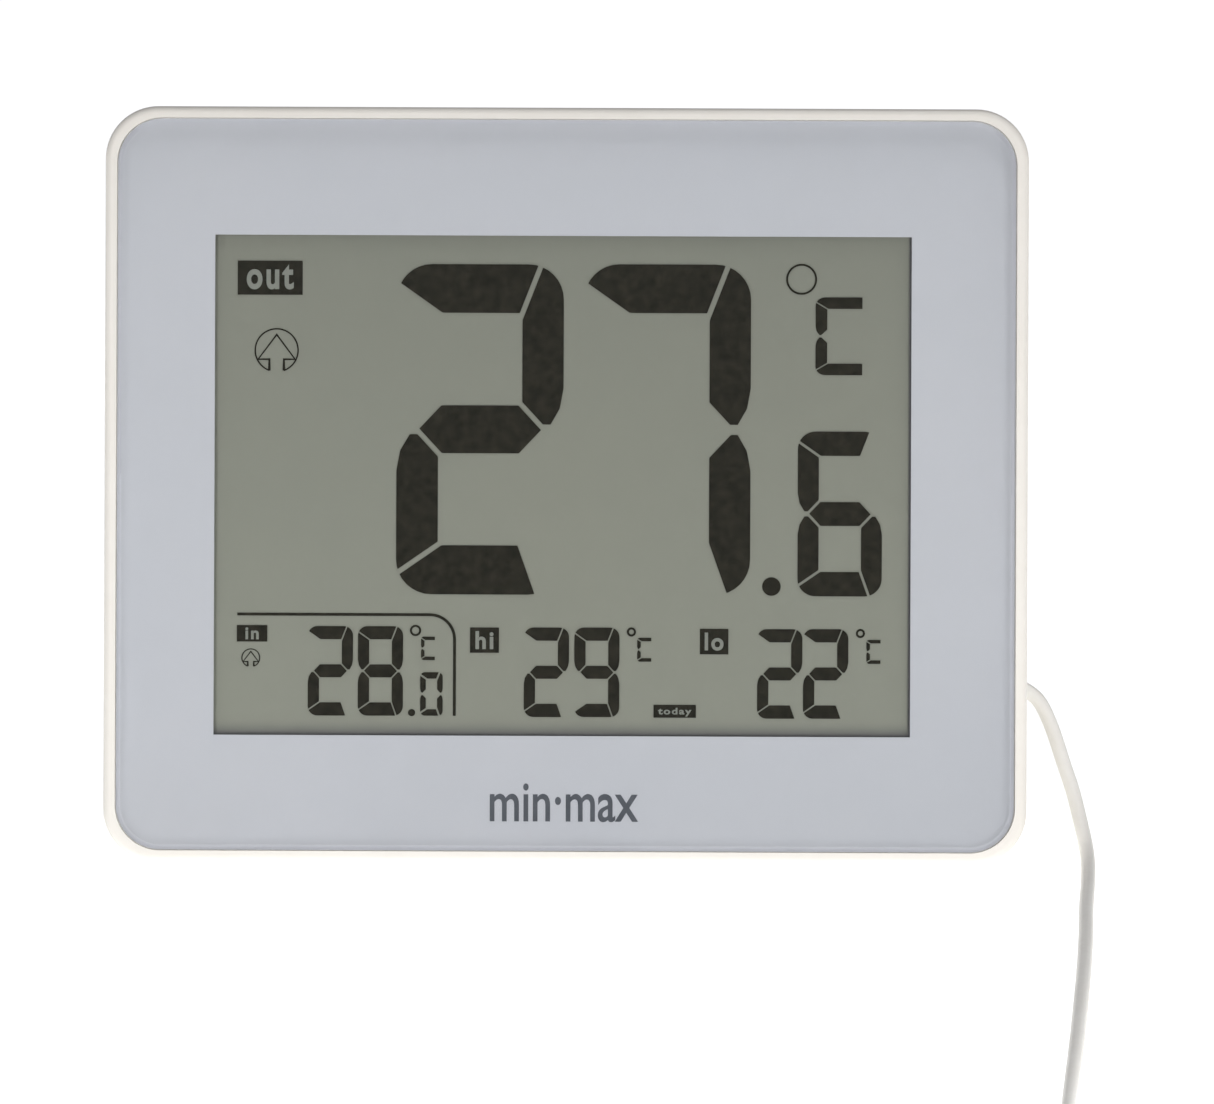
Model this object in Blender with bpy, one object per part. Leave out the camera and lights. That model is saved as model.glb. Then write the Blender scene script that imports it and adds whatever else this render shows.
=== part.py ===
"""Indoor and outdoor thermometer with a wired probe, standing on its fold-out leg.

The case is modelled upright in its own frame: x to the right, y from the front glass into the case, z up
from the casing's bottom edge. One empty carries that frame and leans it back. The lead and its coil are
modelled where they lie, in the world frame. All sizes are metres.
"""

import math

import bmesh
import bpy
from mathutils import Matrix, Vector

# How the case stands
LEAN = math.radians(16.0)
DESK_FACET = 0.0005  # how much of the casing's bottom rear edge is cut away level with the desk
CASE_SHIFT_Y = -0.0245  # puts the middle of the standing case's footprint over the origin
GAP = 0.0003  # between pieces that touch

# Front shell
CASE_W, CASE_H, CASE_R = 0.110, 0.090, 0.0063
MID_Z = CASE_H / 2
RIM_Y, SHELL_BACK_Y, SHELL_WALL = 0.0003, 0.0090, 0.0017
RIM_ROUND = 0.0009
SEAT_Y0, SEAT_Y1 = 0.0033, 0.0050

# Front glass, printed border and adhesive frame
LENS_W, LENS_H, LENS_R, LENS_T = 0.1067, 0.0866, 0.0052, 0.0020
LENS_CHAMFER = 0.0006
WINDOW_X, WINDOW_Z, WINDOW_W, WINDOW_H = -0.0003, 0.0449, 0.0828, 0.0595
MASK_Y0, MASK_Y1 = 0.0023, 0.0025
TAPE_Y0, TAPE_Y1 = 0.0028, 0.0030

# Display: the cell, its films, its holder and its contact strip
CELL_Z, CELL_W, CELL_H, CELL_Y0, CELL_Y1 = 0.0437, 0.0860, 0.0650, 0.0034, 0.0056
FILM_W, FILM_BOTTOM, FILM_TOP = 0.0850, 0.0147, 0.0760
FILM_T = 0.0003
HOLDER_W, HOLDER_H, HOLDER_Y0, HOLDER_PLATE_Y, HOLDER_Y1 = 0.0894, 0.0682, 0.0053, 0.0065, 0.0083
HOLDER_CORNER = 0.0035
STRIP_W, STRIP_Z, STRIP_T = 0.0810, 0.0128, 0.0020

# Circuit board
BOARD_W, BOARD_Z0, BOARD_Z1, BOARD_Y0, BOARD_Y1 = 0.0840, 0.0098, 0.0435, 0.0110, 0.0122
BOARD_CORNER = 0.0030  # cut off its two lower corners, to clear the screw wells
BOARD_POSTS = [(-0.0395, 0.0200), (-0.0395, 0.0400), (0.0395, 0.0200), (0.0395, 0.0400)]
POST_R = 0.0020
BLOB_X, BLOB_Z, BLOB_R, BLOB_T = -0.0050, 0.0270, 0.0070, 0.0014

# Rear cover: a flange that closes the shell, and a tub that is stepped in from it
FLANGE_W, FLANGE_H, FLANGE_R, FLANGE_Y0, FLANGE_Y1 = 0.1076, 0.0876, 0.0051, 0.0093, 0.0108
TUB_W, TUB_H, TUB_R, BACK_Y, TUB_WALL, TUB_EDGE = 0.100, 0.080, 0.0055, 0.0220, 0.0016, 0.0020
CORNER_SCREWS = [(-0.0450, 0.0096), (0.0450, 0.0096), (-0.0450, 0.0804), (0.0450, 0.0804)]
BOSS_R, WELL_R, WELL_BORE_R = 0.0020, 0.0036, 0.0023

# Battery bay
BAY_W, BAY_Z0, BAY_Z1, BAY_FLOOR_Y = 0.0530, 0.0475, 0.0715, 0.0096
BAY_WALL, BAY_LEDGE = 0.0025, 0.0015
DOOR_SEAT_Y = 0.0203
CELL_R, CELL_BODY, NUB_R, NUB_T = 0.00515, 0.0435, 0.0018, 0.0010
BATTERY_Y = BAY_FLOOR_Y + GAP + CELL_R
UPPER_Z, LOWER_Z = 0.0656, 0.0534
CONTACT_X, CONTACT_T = 0.0258, 0.0004

# Stand leg
HINGE_Y, HINGE_Z = 0.0203, 0.0420
LEG_LENGTH, LEG_W, LEG_FOOT_W, LEG_T = 0.0400, 0.0366, 0.0300, 0.0030
RECESS_W, RECESS_Y, RECESS_TOP, RECESS_WALL = 0.0376, 0.0182, 0.0443, 0.0027
PIN_R, PIN_REACH = 0.0010, 0.0016
LEG_PANEL_W, LEG_PANEL_H, LEG_PANEL_DEPTH = 0.0200, 0.0240, 0.0010  # moulded in its outer face

# Push buttons
BUTTON_X = -0.0330
BUTTON_ROWS = {"memory": 0.0340, "clear": 0.0245, "unit": 0.0150}
BUTTON_R, BUTTON_PROUD = 0.0024, 0.0004

# Lead: where it leaves the case, its route to the coil, and the coil
LEAD_R = 0.0009
LEAD_Y, LEAD_Z = 0.0160, 0.0213  # the grommet's axis in the case frame
LEAD_ROUTE = [
    (0.0533, -0.0032, 0.0180), (0.0550, -0.0034, 0.0178), (0.0572, -0.0039, 0.0163),
    (0.0585, -0.0048, 0.0142), (0.0594, -0.0059, 0.0120), (0.0604, -0.0076, 0.0091),
    (0.0614, -0.0097, 0.0063), (0.0621, -0.0125, 0.0036), (0.0625, -0.0162, 0.0017),
    (0.0624, -0.0206, 0.0010), (0.0619, -0.0265, 0.0009), (0.0608, -0.0363, 0.0009),
    (0.0598, -0.0467, 0.0009), (0.0587, -0.0566, 0.0009), (0.0575, -0.0665, 0.0009),
    (0.0564, -0.0753, 0.0009), (0.0554, -0.0830, 0.0009), (0.0538, -0.0950, 0.0009),
    (0.0523, -0.1060, 0.0009), (0.0511, -0.1170, 0.0009), (0.0505, -0.1270, 0.0009),
    (0.0503, -0.1362, 0.0009),
]
COIL_X, COIL_Y, COIL_R = 0.0298, -0.1450, 0.0160
COIL_W, COIL_Z0, COIL_Z1 = 0.0104, 0.0008, 0.0098
TIE_W, TIE_T = 0.0040, 0.0005
TAIL_ROUTE = [
    (0.0411, -0.1563, 0.0111), (0.0395, -0.1576, 0.0113), (0.0377, -0.1586, 0.0119),
    (0.0357, -0.1592, 0.0127), (0.0337, -0.1594, 0.0132),
]
CAPSULE_R, CAPSULE_L = 0.0030, 0.0250

COLOURS = {
    "clear_acrylic": ((0.90, 0.92, 0.93), 0.05, 0.0),
    "white_print": ((0.72, 0.73, 0.76), 0.45, 0.0),
    "tape": ((0.85, 0.85, 0.83), 0.70, 0.0),
    "casing_white": ((0.86, 0.84, 0.80), 0.40, 0.0),
    "display_glass": ((0.38, 0.40, 0.35), 0.10, 0.0),
    "display_film": ((0.50, 0.52, 0.46), 0.30, 0.0),
    "natural_plastic": ((0.78, 0.78, 0.74), 0.50, 0.0),
    "contact_rubber": ((0.10, 0.10, 0.11), 0.60, 0.0),
    "board_green": ((0.05, 0.22, 0.10), 0.40, 0.0),
    "black_epoxy": ((0.02, 0.02, 0.02), 0.30, 0.0),
    "plated_steel": ((0.72, 0.71, 0.68), 0.30, 1.0),
    "switch_black": ((0.04, 0.04, 0.04), 0.45, 0.0),
    "battery_sleeve": ((0.10, 0.12, 0.16), 0.35, 0.0),
    "lead_white": ((0.84, 0.83, 0.79), 0.50, 0.0),
    "wire_red": ((0.60, 0.05, 0.04), 0.45, 0.0),
    "wire_black": ((0.03, 0.03, 0.03), 0.45, 0.0),
    "tie_grey": ((0.35, 0.35, 0.36), 0.60, 0.0),
}


# ---------------------------------------------------------------- scene helpers


def clear_scene():
    for obj in list(bpy.data.objects):
        bpy.data.objects.remove(obj, do_unlink=True)


def material(key):
    """The Principled material of one entry of COLOURS, made once."""
    found = bpy.data.materials.get(key)
    if found:
        return found
    colour, roughness, metallic = COLOURS[key]
    made = bpy.data.materials.new(key)
    made.use_nodes = True
    shader = made.node_tree.nodes["Principled BSDF"]
    shader.inputs["Base Color"].default_value = (*colour, 1.0)
    shader.inputs["Roughness"].default_value = roughness
    shader.inputs["Metallic"].default_value = metallic
    return made


def empty(name, parent=None, location=(0, 0, 0), turn_x=0.0):
    made = bpy.data.objects.new(name, None)
    bpy.context.scene.collection.objects.link(made)
    made.parent = parent
    made.location = location
    made.rotation_euler = (turn_x, 0, 0)
    return made


def link(name, data, parent, key):
    made = bpy.data.objects.new(name, data)
    bpy.context.scene.collection.objects.link(made)
    made.parent = parent
    if key:
        data.materials.append(material(key))
    return made


def mesh_object(name, bm, parent, key=None, smooth=True):
    """Turns a bmesh into an object of its own, with its faces pointing out."""
    bmesh.ops.recalc_face_normals(bm, faces=bm.faces)
    mesh = bpy.data.meshes.new(name)
    bm.to_mesh(mesh)
    bm.free()
    made = link(name, mesh, parent, key)
    if smooth:
        mesh.shade_smooth()
        mesh.set_sharp_from_angle(angle=math.radians(35))
    return made


def boolean(target, name, bm, operation):
    """Cuts a shape from the target or joins one to it, through a hidden helper object."""
    helper = mesh_object(f"{target.name}_{name}", bm, target.parent, smooth=False)
    helper.location = target.location
    helper.rotation_euler = target.rotation_euler
    helper.hide_render = True
    helper.display_type = "WIRE"
    step = target.modifiers.new(name, "BOOLEAN")
    step.operation = operation
    step.solver = "EXACT"
    step.object = helper


def cut(target, name, bm):
    boolean(target, name, bm, "DIFFERENCE")


def join(target, name, bm):
    boolean(target, name, bm, "UNION")


# ---------------------------------------------------------------- shapes


def add_prism(bm, outline, y0, y1):
    """A prism from y0 to y1 on an outline of (x, z) points. Returns its points."""
    face = bm.faces.new([bm.verts.new((x, y0, z)) for x, z in outline])
    grown = bmesh.ops.extrude_face_region(bm, geom=[face])["geom"]
    moved = [item for item in grown if isinstance(item, bmesh.types.BMVert)]
    bmesh.ops.translate(bm, vec=(0, y1 - y0, 0), verts=moved)
    return list(face.verts) + moved


def rounded_outline(width, height, x, z, radius, steps):
    """The corners of a rectangle about (x, z), each rounded with an arc of the given steps."""
    if not radius:
        return [
            (x + sx * width / 2, z + sz * height / 2)
            for sx, sz in ((-1, -1), (1, -1), (1, 1), (-1, 1))
        ]
    points = []
    for quarter, (sx, sz) in enumerate(((1, 1), (-1, 1), (-1, -1), (1, -1))):
        cx, cz = x + sx * (width / 2 - radius), z + sz * (height / 2 - radius)
        for step in range(steps + 1):
            angle = math.pi / 2 * (quarter + step / steps)
            points.append((cx + radius * math.cos(angle), cz + radius * math.sin(angle)))
    return points


def add_slab(bm, width, height, y0, y1, x=0.0, z=MID_Z, radius=0.0, steps=4):
    return add_prism(bm, rounded_outline(width, height, x, z, radius, steps), y0, y1)


def add_box(bm, low, high):
    """A box between two corners."""
    width, height = high[0] - low[0], high[2] - low[2]
    x, z = (low[0] + high[0]) / 2, (low[2] + high[2]) / 2
    return add_slab(bm, width, height, low[1], high[1], x, z)


def add_drum(bm, radius, start, end, sides=16, end_radius=None):
    """A cylinder or a cone between two points."""
    start, end = Vector(start), Vector(end)
    along = end - start
    place = Matrix.Translation((start + end) / 2) @ along.to_track_quat("Z", "Y").to_matrix().to_4x4()
    bmesh.ops.create_cone(
        bm, cap_ends=True, segments=sides, radius1=radius,
        radius2=radius if end_radius is None else end_radius, depth=along.length, matrix=place,
    )


def add_y_drum(bm, radius, x, z, y0, y1, sides=16, end_radius=None):
    add_drum(bm, radius, (x, y0, z), (x, y1, z), sides, end_radius)


def bevel_edges_at(bm, y, width, segments):
    """Rounds the outer edges that lie in the plane of the given y."""
    edges = [e for e in bm.edges if all(abs(v.co.y - y) < 1e-6 for v in e.verts)]
    bmesh.ops.bevel(
        bm, geom=edges, offset=width, offset_type="OFFSET", segments=segments, profile=0.5,
        affect="EDGES", material=-1,
    )


def turned(name, profile, parent, key, place, sides=24):
    """A piece turned about its own Z from (radius, height) points, then put in place by a matrix."""
    bm = bmesh.new()
    points = [bm.verts.new((radius, 0, height)) for radius, height in profile]
    edges = [bm.edges.new(pair) for pair in zip(points, points[1:])]
    bmesh.ops.spin(
        bm, geom=points + edges, cent=(0, 0, 0), axis=(0, 0, 1), angle=math.tau, steps=sides,
        use_merge=True,
    )
    bmesh.ops.remove_doubles(bm, verts=bm.verts, dist=1e-6)
    bmesh.ops.transform(bm, matrix=place, verts=bm.verts)
    return mesh_object(name, bm, parent, key)


def x_axis_place(x, y, z):
    """Lays a turned piece along +X, with its height zero at the point."""
    return Matrix.Translation((x, y, z)) @ Matrix.Rotation(math.pi / 2, 4, "Y")


def smooth_route(points, spacing):
    """Points about the given spacing apart on a smooth curve through the route's points."""
    route = [Vector(p) for p in points]
    route = [2 * route[0] - route[1], *route, 2 * route[-1] - route[-2]]
    fine = []
    for a, b, c, d in zip(route, route[1:], route[2:], route[3:]):
        parts = max(1, round((c - b).length / spacing))
        for step in range(parts):
            t = step / parts
            fine.append(
                0.5 * (2 * b + (c - a) * t + (2 * a - 5 * b + 4 * c - d) * t**2
                       + (3 * b - a - 3 * c + d) * t**3)
            )
    return [*fine, route[-2]]


def tube(name, points, radius, parent, key, resolution=2):
    """A closed round tube along the points."""
    curve = bpy.data.curves.new(name, "CURVE")
    curve.dimensions = "3D"
    curve.bevel_depth = radius
    curve.bevel_resolution = resolution
    curve.use_fill_caps = True
    spline = curve.splines.new("POLY")
    spline.points.add(len(points) - 1)
    for target, point in zip(spline.points, points):
        target.co = (*point, 1.0)
    return link(name, curve, parent, key)


# ---------------------------------------------------------------- front


def make_front_lens(case):
    bm = bmesh.new()
    add_slab(bm, LENS_W, LENS_H, 0, LENS_T, radius=LENS_R, steps=6)
    bevel_edges_at(bm, 0, LENS_CHAMFER, 1)
    mesh_object("front_lens", bm, case, "clear_acrylic")


def make_frame_sheet(case, name, key, size, opening, y0, y1):
    """A flat sheet with a sharp-cornered opening; size and opening are (width, height, x, z, radius)."""
    bm = bmesh.new()
    add_slab(bm, size[0], size[1], y0, y1, size[2], size[3], size[4])
    sheet = mesh_object(name, bm, case, key)
    hole = bmesh.new()
    add_slab(hole, opening[0], opening[1], y0 - 0.001, y1 + 0.001, opening[2], opening[3])
    cut(sheet, "window", hole)


def make_front_sheets(case):
    make_frame_sheet(
        case, "lens_mask", "white_print", (LENS_W - 0.0006, LENS_H - 0.0006, 0, MID_Z, LENS_R),
        (WINDOW_W, WINDOW_H, WINDOW_X, WINDOW_Z), MASK_Y0, MASK_Y1,
    )
    make_frame_sheet(
        case, "lens_tape", "tape", (LENS_W - 0.003, LENS_H - 0.003, 0, MID_Z, LENS_R - 0.001),
        (0.0920, 0.0700, 0, MID_Z), TAPE_Y0, TAPE_Y1,
    )


def make_front_shell(case):
    """The frame that the glass sits in, with the seat behind the glass and four screw bosses."""
    bm = bmesh.new()
    add_slab(bm, CASE_W, CASE_H, RIM_Y, SHELL_BACK_Y, radius=CASE_R, steps=6)
    bevel_edges_at(bm, RIM_Y, RIM_ROUND, 3)
    shell = mesh_object("front_shell", bm, case, "casing_white")

    pocket = bmesh.new()
    add_slab(pocket, LENS_W + 2 * GAP, LENS_H + 2 * GAP, -0.002, SEAT_Y0, radius=LENS_R + GAP, steps=6)
    cut(shell, "lens_pocket", pocket)

    hollow = bmesh.new()
    inner_w, inner_h = CASE_W - 2 * SHELL_WALL, CASE_H - 2 * SHELL_WALL
    add_slab(hollow, inner_w, inner_h, SEAT_Y1, SHELL_BACK_Y + 0.002, radius=CASE_R - SHELL_WALL)
    cut(shell, "hollow", hollow)

    opening = bmesh.new()
    add_slab(opening, CELL_W + 0.001, CELL_H + 0.001, 0, 0.02, WINDOW_X, CELL_Z)
    cut(shell, "display_opening", opening)

    for number, (x, z) in enumerate(CORNER_SCREWS, 1):
        boss = bmesh.new()
        add_y_drum(boss, BOSS_R, x, z, SEAT_Y1 - 0.0008, SHELL_BACK_Y - 0.0001)
        join(shell, f"boss_{number}", boss)
    pilots = bmesh.new()
    for x, z in CORNER_SCREWS:
        add_y_drum(pilots, 0.00125, x, z, 0.0062, SHELL_BACK_Y + 0.002, 12)
    cut(shell, "pilots", pilots)

    facet = bmesh.new()
    desk = SHELL_BACK_Y * math.sin(LEAN) - DESK_FACET  # how far the desk lies below the frame's origin
    level, rise = -desk / math.cos(LEAN), math.tan(LEAN)
    low_front, low_back = level - 0.001 * rise, level + 0.011 * rise
    corners = [(-0.001, low_front), (0.011, low_back), (0.011, -0.004), (-0.001, -0.004)]
    face = facet.faces.new([facet.verts.new((-0.06, y, z)) for y, z in corners])
    grown = bmesh.ops.extrude_face_region(facet, geom=[face])["geom"]
    moved = [item for item in grown if isinstance(item, bmesh.types.BMVert)]
    bmesh.ops.translate(facet, vec=(0.12, 0, 0), verts=moved)
    cut(shell, "desk_facet", facet)


# ---------------------------------------------------------------- display


def make_display(case):
    film_h = FILM_TOP - FILM_BOTTOM
    film_z = (FILM_TOP + FILM_BOTTOM) / 2

    bm = bmesh.new()
    add_slab(bm, FILM_W, film_h + 0.0022, CELL_Y0 - 2 * GAP, CELL_Y0 - GAP, WINDOW_X, film_z - 0.0011)
    mesh_object("display_polariser", bm, case, "display_film")

    bm = bmesh.new()
    add_slab(bm, CELL_W, CELL_H, CELL_Y0, CELL_Y1, WINDOW_X, CELL_Z)
    mesh_object("display_cell", bm, case, "display_glass")

    bm = bmesh.new()
    add_slab(bm, FILM_W, film_h, CELL_Y1 + GAP, CELL_Y1 + GAP + FILM_T, WINDOW_X, film_z)
    mesh_object("display_reflector", bm, case, "display_film")

    bm = bmesh.new()
    half, half_t = STRIP_W / 2, STRIP_T / 2
    add_box(bm, (-half, CELL_Y1 + GAP, STRIP_Z - half_t), (half, BOARD_Y0 - GAP, STRIP_Z + half_t))
    mesh_object("display_contact_strip", bm, case, "contact_rubber")


def make_display_holder(case):
    """The tray that holds the display against the shell and carries the circuit board."""
    half_w, low, high = HOLDER_W / 2, CELL_Z - HOLDER_H / 2, CELL_Z + HOLDER_H / 2
    left, right, corner = WINDOW_X - half_w, WINDOW_X + half_w, HOLDER_CORNER
    outline = [
        (left + corner, low), (right - corner, low), (right, low + corner), (right, high),
        (left, high), (left, low + corner),
    ]
    bm = bmesh.new()
    add_prism(bm, outline, HOLDER_Y0, HOLDER_Y1)
    holder = mesh_object("display_holder", bm, case, "natural_plastic")

    for number, (x, z) in enumerate(BOARD_POSTS, 1):
        post = bmesh.new()
        add_y_drum(post, POST_R, x, z, HOLDER_PLATE_Y + 0.0005, BOARD_Y0 - GAP)
        join(holder, f"post_{number}", post)

    nest = bmesh.new()
    add_slab(nest, CELL_W + 2 * GAP, CELL_H + 2 * GAP, HOLDER_Y0 - 0.001, HOLDER_PLATE_Y, WINDOW_X, CELL_Z)
    cut(holder, "nest", nest)

    openings = bmesh.new()
    add_slab(openings, STRIP_W + 0.001, STRIP_T + 0.001, 0.006, 0.010, 0, STRIP_Z)
    for x, z in BOARD_POSTS:
        add_y_drum(openings, 0.0010, x, z, 0.0077, BOARD_Y0 + 0.001, 12)
    cut(holder, "openings", openings)


# ---------------------------------------------------------------- board


def make_board(case):
    bm = bmesh.new()
    half, corner = BOARD_W / 2, BOARD_CORNER
    outline = [
        (corner - half, BOARD_Z0), (half - corner, BOARD_Z0), (half, BOARD_Z0 + corner), (half, BOARD_Z1),
        (-half, BOARD_Z1), (-half, BOARD_Z0 + corner),
    ]
    add_prism(bm, outline, BOARD_Y0, BOARD_Y1)
    board = mesh_object("circuit_board", bm, case, "board_green")
    holes = bmesh.new()
    for x, z in BOARD_POSTS:
        add_y_drum(holes, 0.0011, x, z, BOARD_Y0 - 0.001, BOARD_Y1 + 0.001, 12)
    cut(board, "holes", holes)


def make_screw(case, name, x, z, head_y, head_r, head_t, shank_r, shank_l):
    """A pan head screw driven forwards: its head's underside is at head_y."""
    profile = [
        (0, -shank_l), (shank_r * 0.5, -shank_l), (shank_r, -shank_l + shank_r), (shank_r, 0), (head_r, 0),
        (head_r, head_t * 0.5), (head_r * 0.8, head_t * 0.9), (head_r * 0.4, head_t), (0, head_t),
    ]
    place = Matrix.Translation((x, head_y, z)) @ Matrix.Rotation(-math.pi / 2, 4, "X")
    screw = turned(name, profile[::-1], case, "plated_steel", place, 16)
    slots = bmesh.new()
    reach, width = head_r * 0.6, head_r * 0.16
    top = head_y + head_t
    add_box(slots, (x - reach, top - head_t * 0.5, z - width), (x + reach, top + 0.001, z + width))
    cut(screw, "slot", slots)
    cross = bmesh.new()
    add_box(cross, (x - width, top - head_t * 0.5, z - reach), (x + width, top + 0.001, z + reach))
    cut(screw, "cross", cross)


def make_screws(case):
    for number, (x, z) in enumerate(CORNER_SCREWS, 1):
        make_screw(case, f"case_screw_{number}", x, z, FLANGE_Y1 + GAP, 0.0019, 0.0012, 0.00095, 0.0046)
    for number, (x, z) in enumerate(BOARD_POSTS, 1):
        make_screw(case, f"board_screw_{number}", x, z, BOARD_Y1 + GAP, 0.0016, 0.0009, 0.0007, 0.0040)


def make_board_parts(case):
    face = BOARD_Y1 + GAP
    bm = bmesh.new()
    add_y_drum(bm, BLOB_R, BLOB_X, BLOB_Z, face, face + BLOB_T / 2, 24, BLOB_R - 0.0004)
    bm.normal_update()
    top = [f for f in bm.faces if f.normal.y > 0.9]
    bmesh.ops.inset_region(bm, faces=top, thickness=BLOB_R / 3, depth=BLOB_T / 2)
    mesh_object("controller_blob", bm, case, "black_epoxy")

    bm = bmesh.new()
    add_drum(bm, 0.0010, (0.0090, face + 0.0010, 0.0190), (0.0150, face + 0.0010, 0.0190), 12)
    mesh_object("clock_crystal", bm, case, "plated_steel")

    bead = [
        (0, 0), (0.0004, 0), (0.0004, 0.0016), (0.0011, 0.0021), (0.0012, 0.0028), (0.0006, 0.0035),
        (0, 0.0036),
    ]
    place = Matrix.Translation((-0.0402, face, 0.0300)) @ Matrix.Rotation(-math.pi / 2, 4, "X")
    turned("room_sensor", bead[::-1], case, "black_epoxy", place, 12)

    for name, z in BUTTON_ROWS.items():
        bm = bmesh.new()
        add_box(bm, (BUTTON_X - 0.003, face, z - 0.003), (BUTTON_X + 0.003, face + 0.0025, z + 0.003))
        switch = mesh_object(f"{name}_switch", bm, case, "switch_black")
        plunger = bmesh.new()
        add_y_drum(plunger, 0.0016, BUTTON_X, z, face + 0.0015, face + 0.0031, 12)
        join(switch, "plunger", plunger)


def make_button(case, name, z):
    """A push button, whose own origin is on its axis at the cover's back."""
    slide = empty(f"{name}_button_slide", case, (BUTTON_X, BACK_Y, z))
    profile = [
        (0, -0.0057), (0.0012, -0.0057), (0.0012, -0.0045), (0.0031, -0.0045), (0.0031, -0.0035),
        (BUTTON_R, -0.0035), (BUTTON_R, BUTTON_PROUD - 0.0004), (BUTTON_R - 0.0004, BUTTON_PROUD),
        (0, BUTTON_PROUD),
    ]
    place = Matrix.Rotation(-math.pi / 2, 4, "X")
    turned(f"{name}_button", profile[::-1], slide, "casing_white", place, 20)


# ---------------------------------------------------------------- rear cover


def make_rear_cover(case):
    bm = bmesh.new()
    add_slab(bm, TUB_W, TUB_H, FLANGE_Y0 + 0.0005, BACK_Y, radius=TUB_R, steps=5)
    bevel_edges_at(bm, BACK_Y, TUB_EDGE, 3)
    cover = mesh_object("rear_cover", bm, case, "casing_white")

    flange = bmesh.new()
    add_slab(flange, FLANGE_W, FLANGE_H, FLANGE_Y0, FLANGE_Y1, radius=FLANGE_R, steps=5)
    join(cover, "flange", flange)

    hollow = bmesh.new()
    inner_w, inner_h = TUB_W - 2 * TUB_WALL, TUB_H - 2 * TUB_WALL
    add_slab(hollow, inner_w, inner_h, 0.0085, BACK_Y - TUB_WALL, radius=TUB_R - TUB_WALL)
    cut(cover, "hollow", hollow)

    add_cover_insides(cover)
    cut_cover_openings(cover)


def add_cover_insides(cover):
    """Joins the screw wells, the battery bay's walls and the stand recess's walls."""
    for number, (x, z) in enumerate(CORNER_SCREWS, 1):
        well = bmesh.new()
        add_y_drum(well, WELL_R, x, z, FLANGE_Y0 + 0.0002, BACK_Y - 0.0010)
        join(cover, f"well_{number}", well)

    half, low, high = BAY_W / 2 + BAY_WALL, BAY_Z0 - BAY_WALL, BAY_Z1 + BAY_WALL
    bay = bmesh.new()
    add_box(bay, (-half, BAY_FLOOR_Y - 0.0010, low), (half, BACK_Y - 0.0010, high))
    join(cover, "bay_walls", bay)

    half, high = RECESS_W / 2 + RECESS_WALL, RECESS_TOP + 0.0012
    recess = bmesh.new()
    add_box(recess, (-half, RECESS_Y - 0.0015, 0.0058), (half, BACK_Y - 0.0008, high))
    join(cover, "recess_walls", recess)


def cut_cover_openings(cover):
    rear = BACK_Y + 0.002
    wells = bmesh.new()
    for x, z in CORNER_SCREWS:
        add_y_drum(wells, WELL_BORE_R, x, z, FLANGE_Y1, rear)
    cut(cover, "well_bores", wells)
    holes = bmesh.new()
    for x, z in CORNER_SCREWS:
        add_y_drum(holes, 0.00125, x, z, FLANGE_Y0 - 0.001, FLANGE_Y1 + 0.001, 12)
    cut(cover, "screw_holes", holes)

    half = BAY_W / 2
    bay = bmesh.new()
    add_box(bay, (-half, BAY_FLOOR_Y, BAY_Z0), (half, rear, BAY_Z1))
    cut(cover, "bay", bay)
    seat, ledge = bmesh.new(), half + BAY_LEDGE
    add_box(seat, (-ledge, DOOR_SEAT_Y, BAY_Z0 - BAY_LEDGE), (ledge, rear, BAY_Z1 + BAY_LEDGE))
    cut(cover, "door_seat", seat)
    notch = bmesh.new()
    add_box(notch, (-0.0068, DOOR_SEAT_Y, BAY_Z1 + 0.001), (0.0068, rear, BAY_Z1 + BAY_LEDGE + 0.0019))
    cut(cover, "latch_notch", notch)

    recess = bmesh.new()
    add_box(recess, (-RECESS_W / 2, RECESS_Y, 0.0030), (RECESS_W / 2, rear, RECESS_TOP))
    cut(cover, "stand_recess", recess)
    pins = bmesh.new()
    reach = RECESS_W / 2 + PIN_REACH
    add_drum(pins, PIN_R + GAP, (-reach, HINGE_Y, HINGE_Z), (reach, HINGE_Y, HINGE_Z), 12)
    cut(cover, "pin_sockets", pins)

    small = bmesh.new()
    for z in BUTTON_ROWS.values():
        add_y_drum(small, BUTTON_R + GAP, BUTTON_X, z, 0.0195, rear, 20)
    add_drum(small, 0.0026, (0.0470, LEAD_Y, LEAD_Z), (0.0520, LEAD_Y, LEAD_Z), 16)
    for row in range(5):
        z = 0.0240 + 0.0030 * row
        add_box(small, (-0.0520, 0.0125, z), (-0.0470, 0.0185, z + 0.0012))
    front, back = BATTERY_Y - 0.0006, BATTERY_Y + 0.0006
    for z in (UPPER_Z, LOWER_Z):
        add_box(small, (half - 0.0005, front, z - 0.0018), (half + 0.0035, back, z + 0.0018))
    cut(cover, "small_openings", small)

    keyhole = bmesh.new()
    add_y_drum(keyhole, 0.0032, 0, 0.0780, 0.0195, rear, 20)
    cut(cover, "keyhole_round", keyhole)
    slot = bmesh.new()
    add_slab(slot, 0.0034, 0.0060, 0.0195, rear, 0, 0.0799, 0.0016)
    cut(cover, "keyhole_slot", slot)


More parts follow.
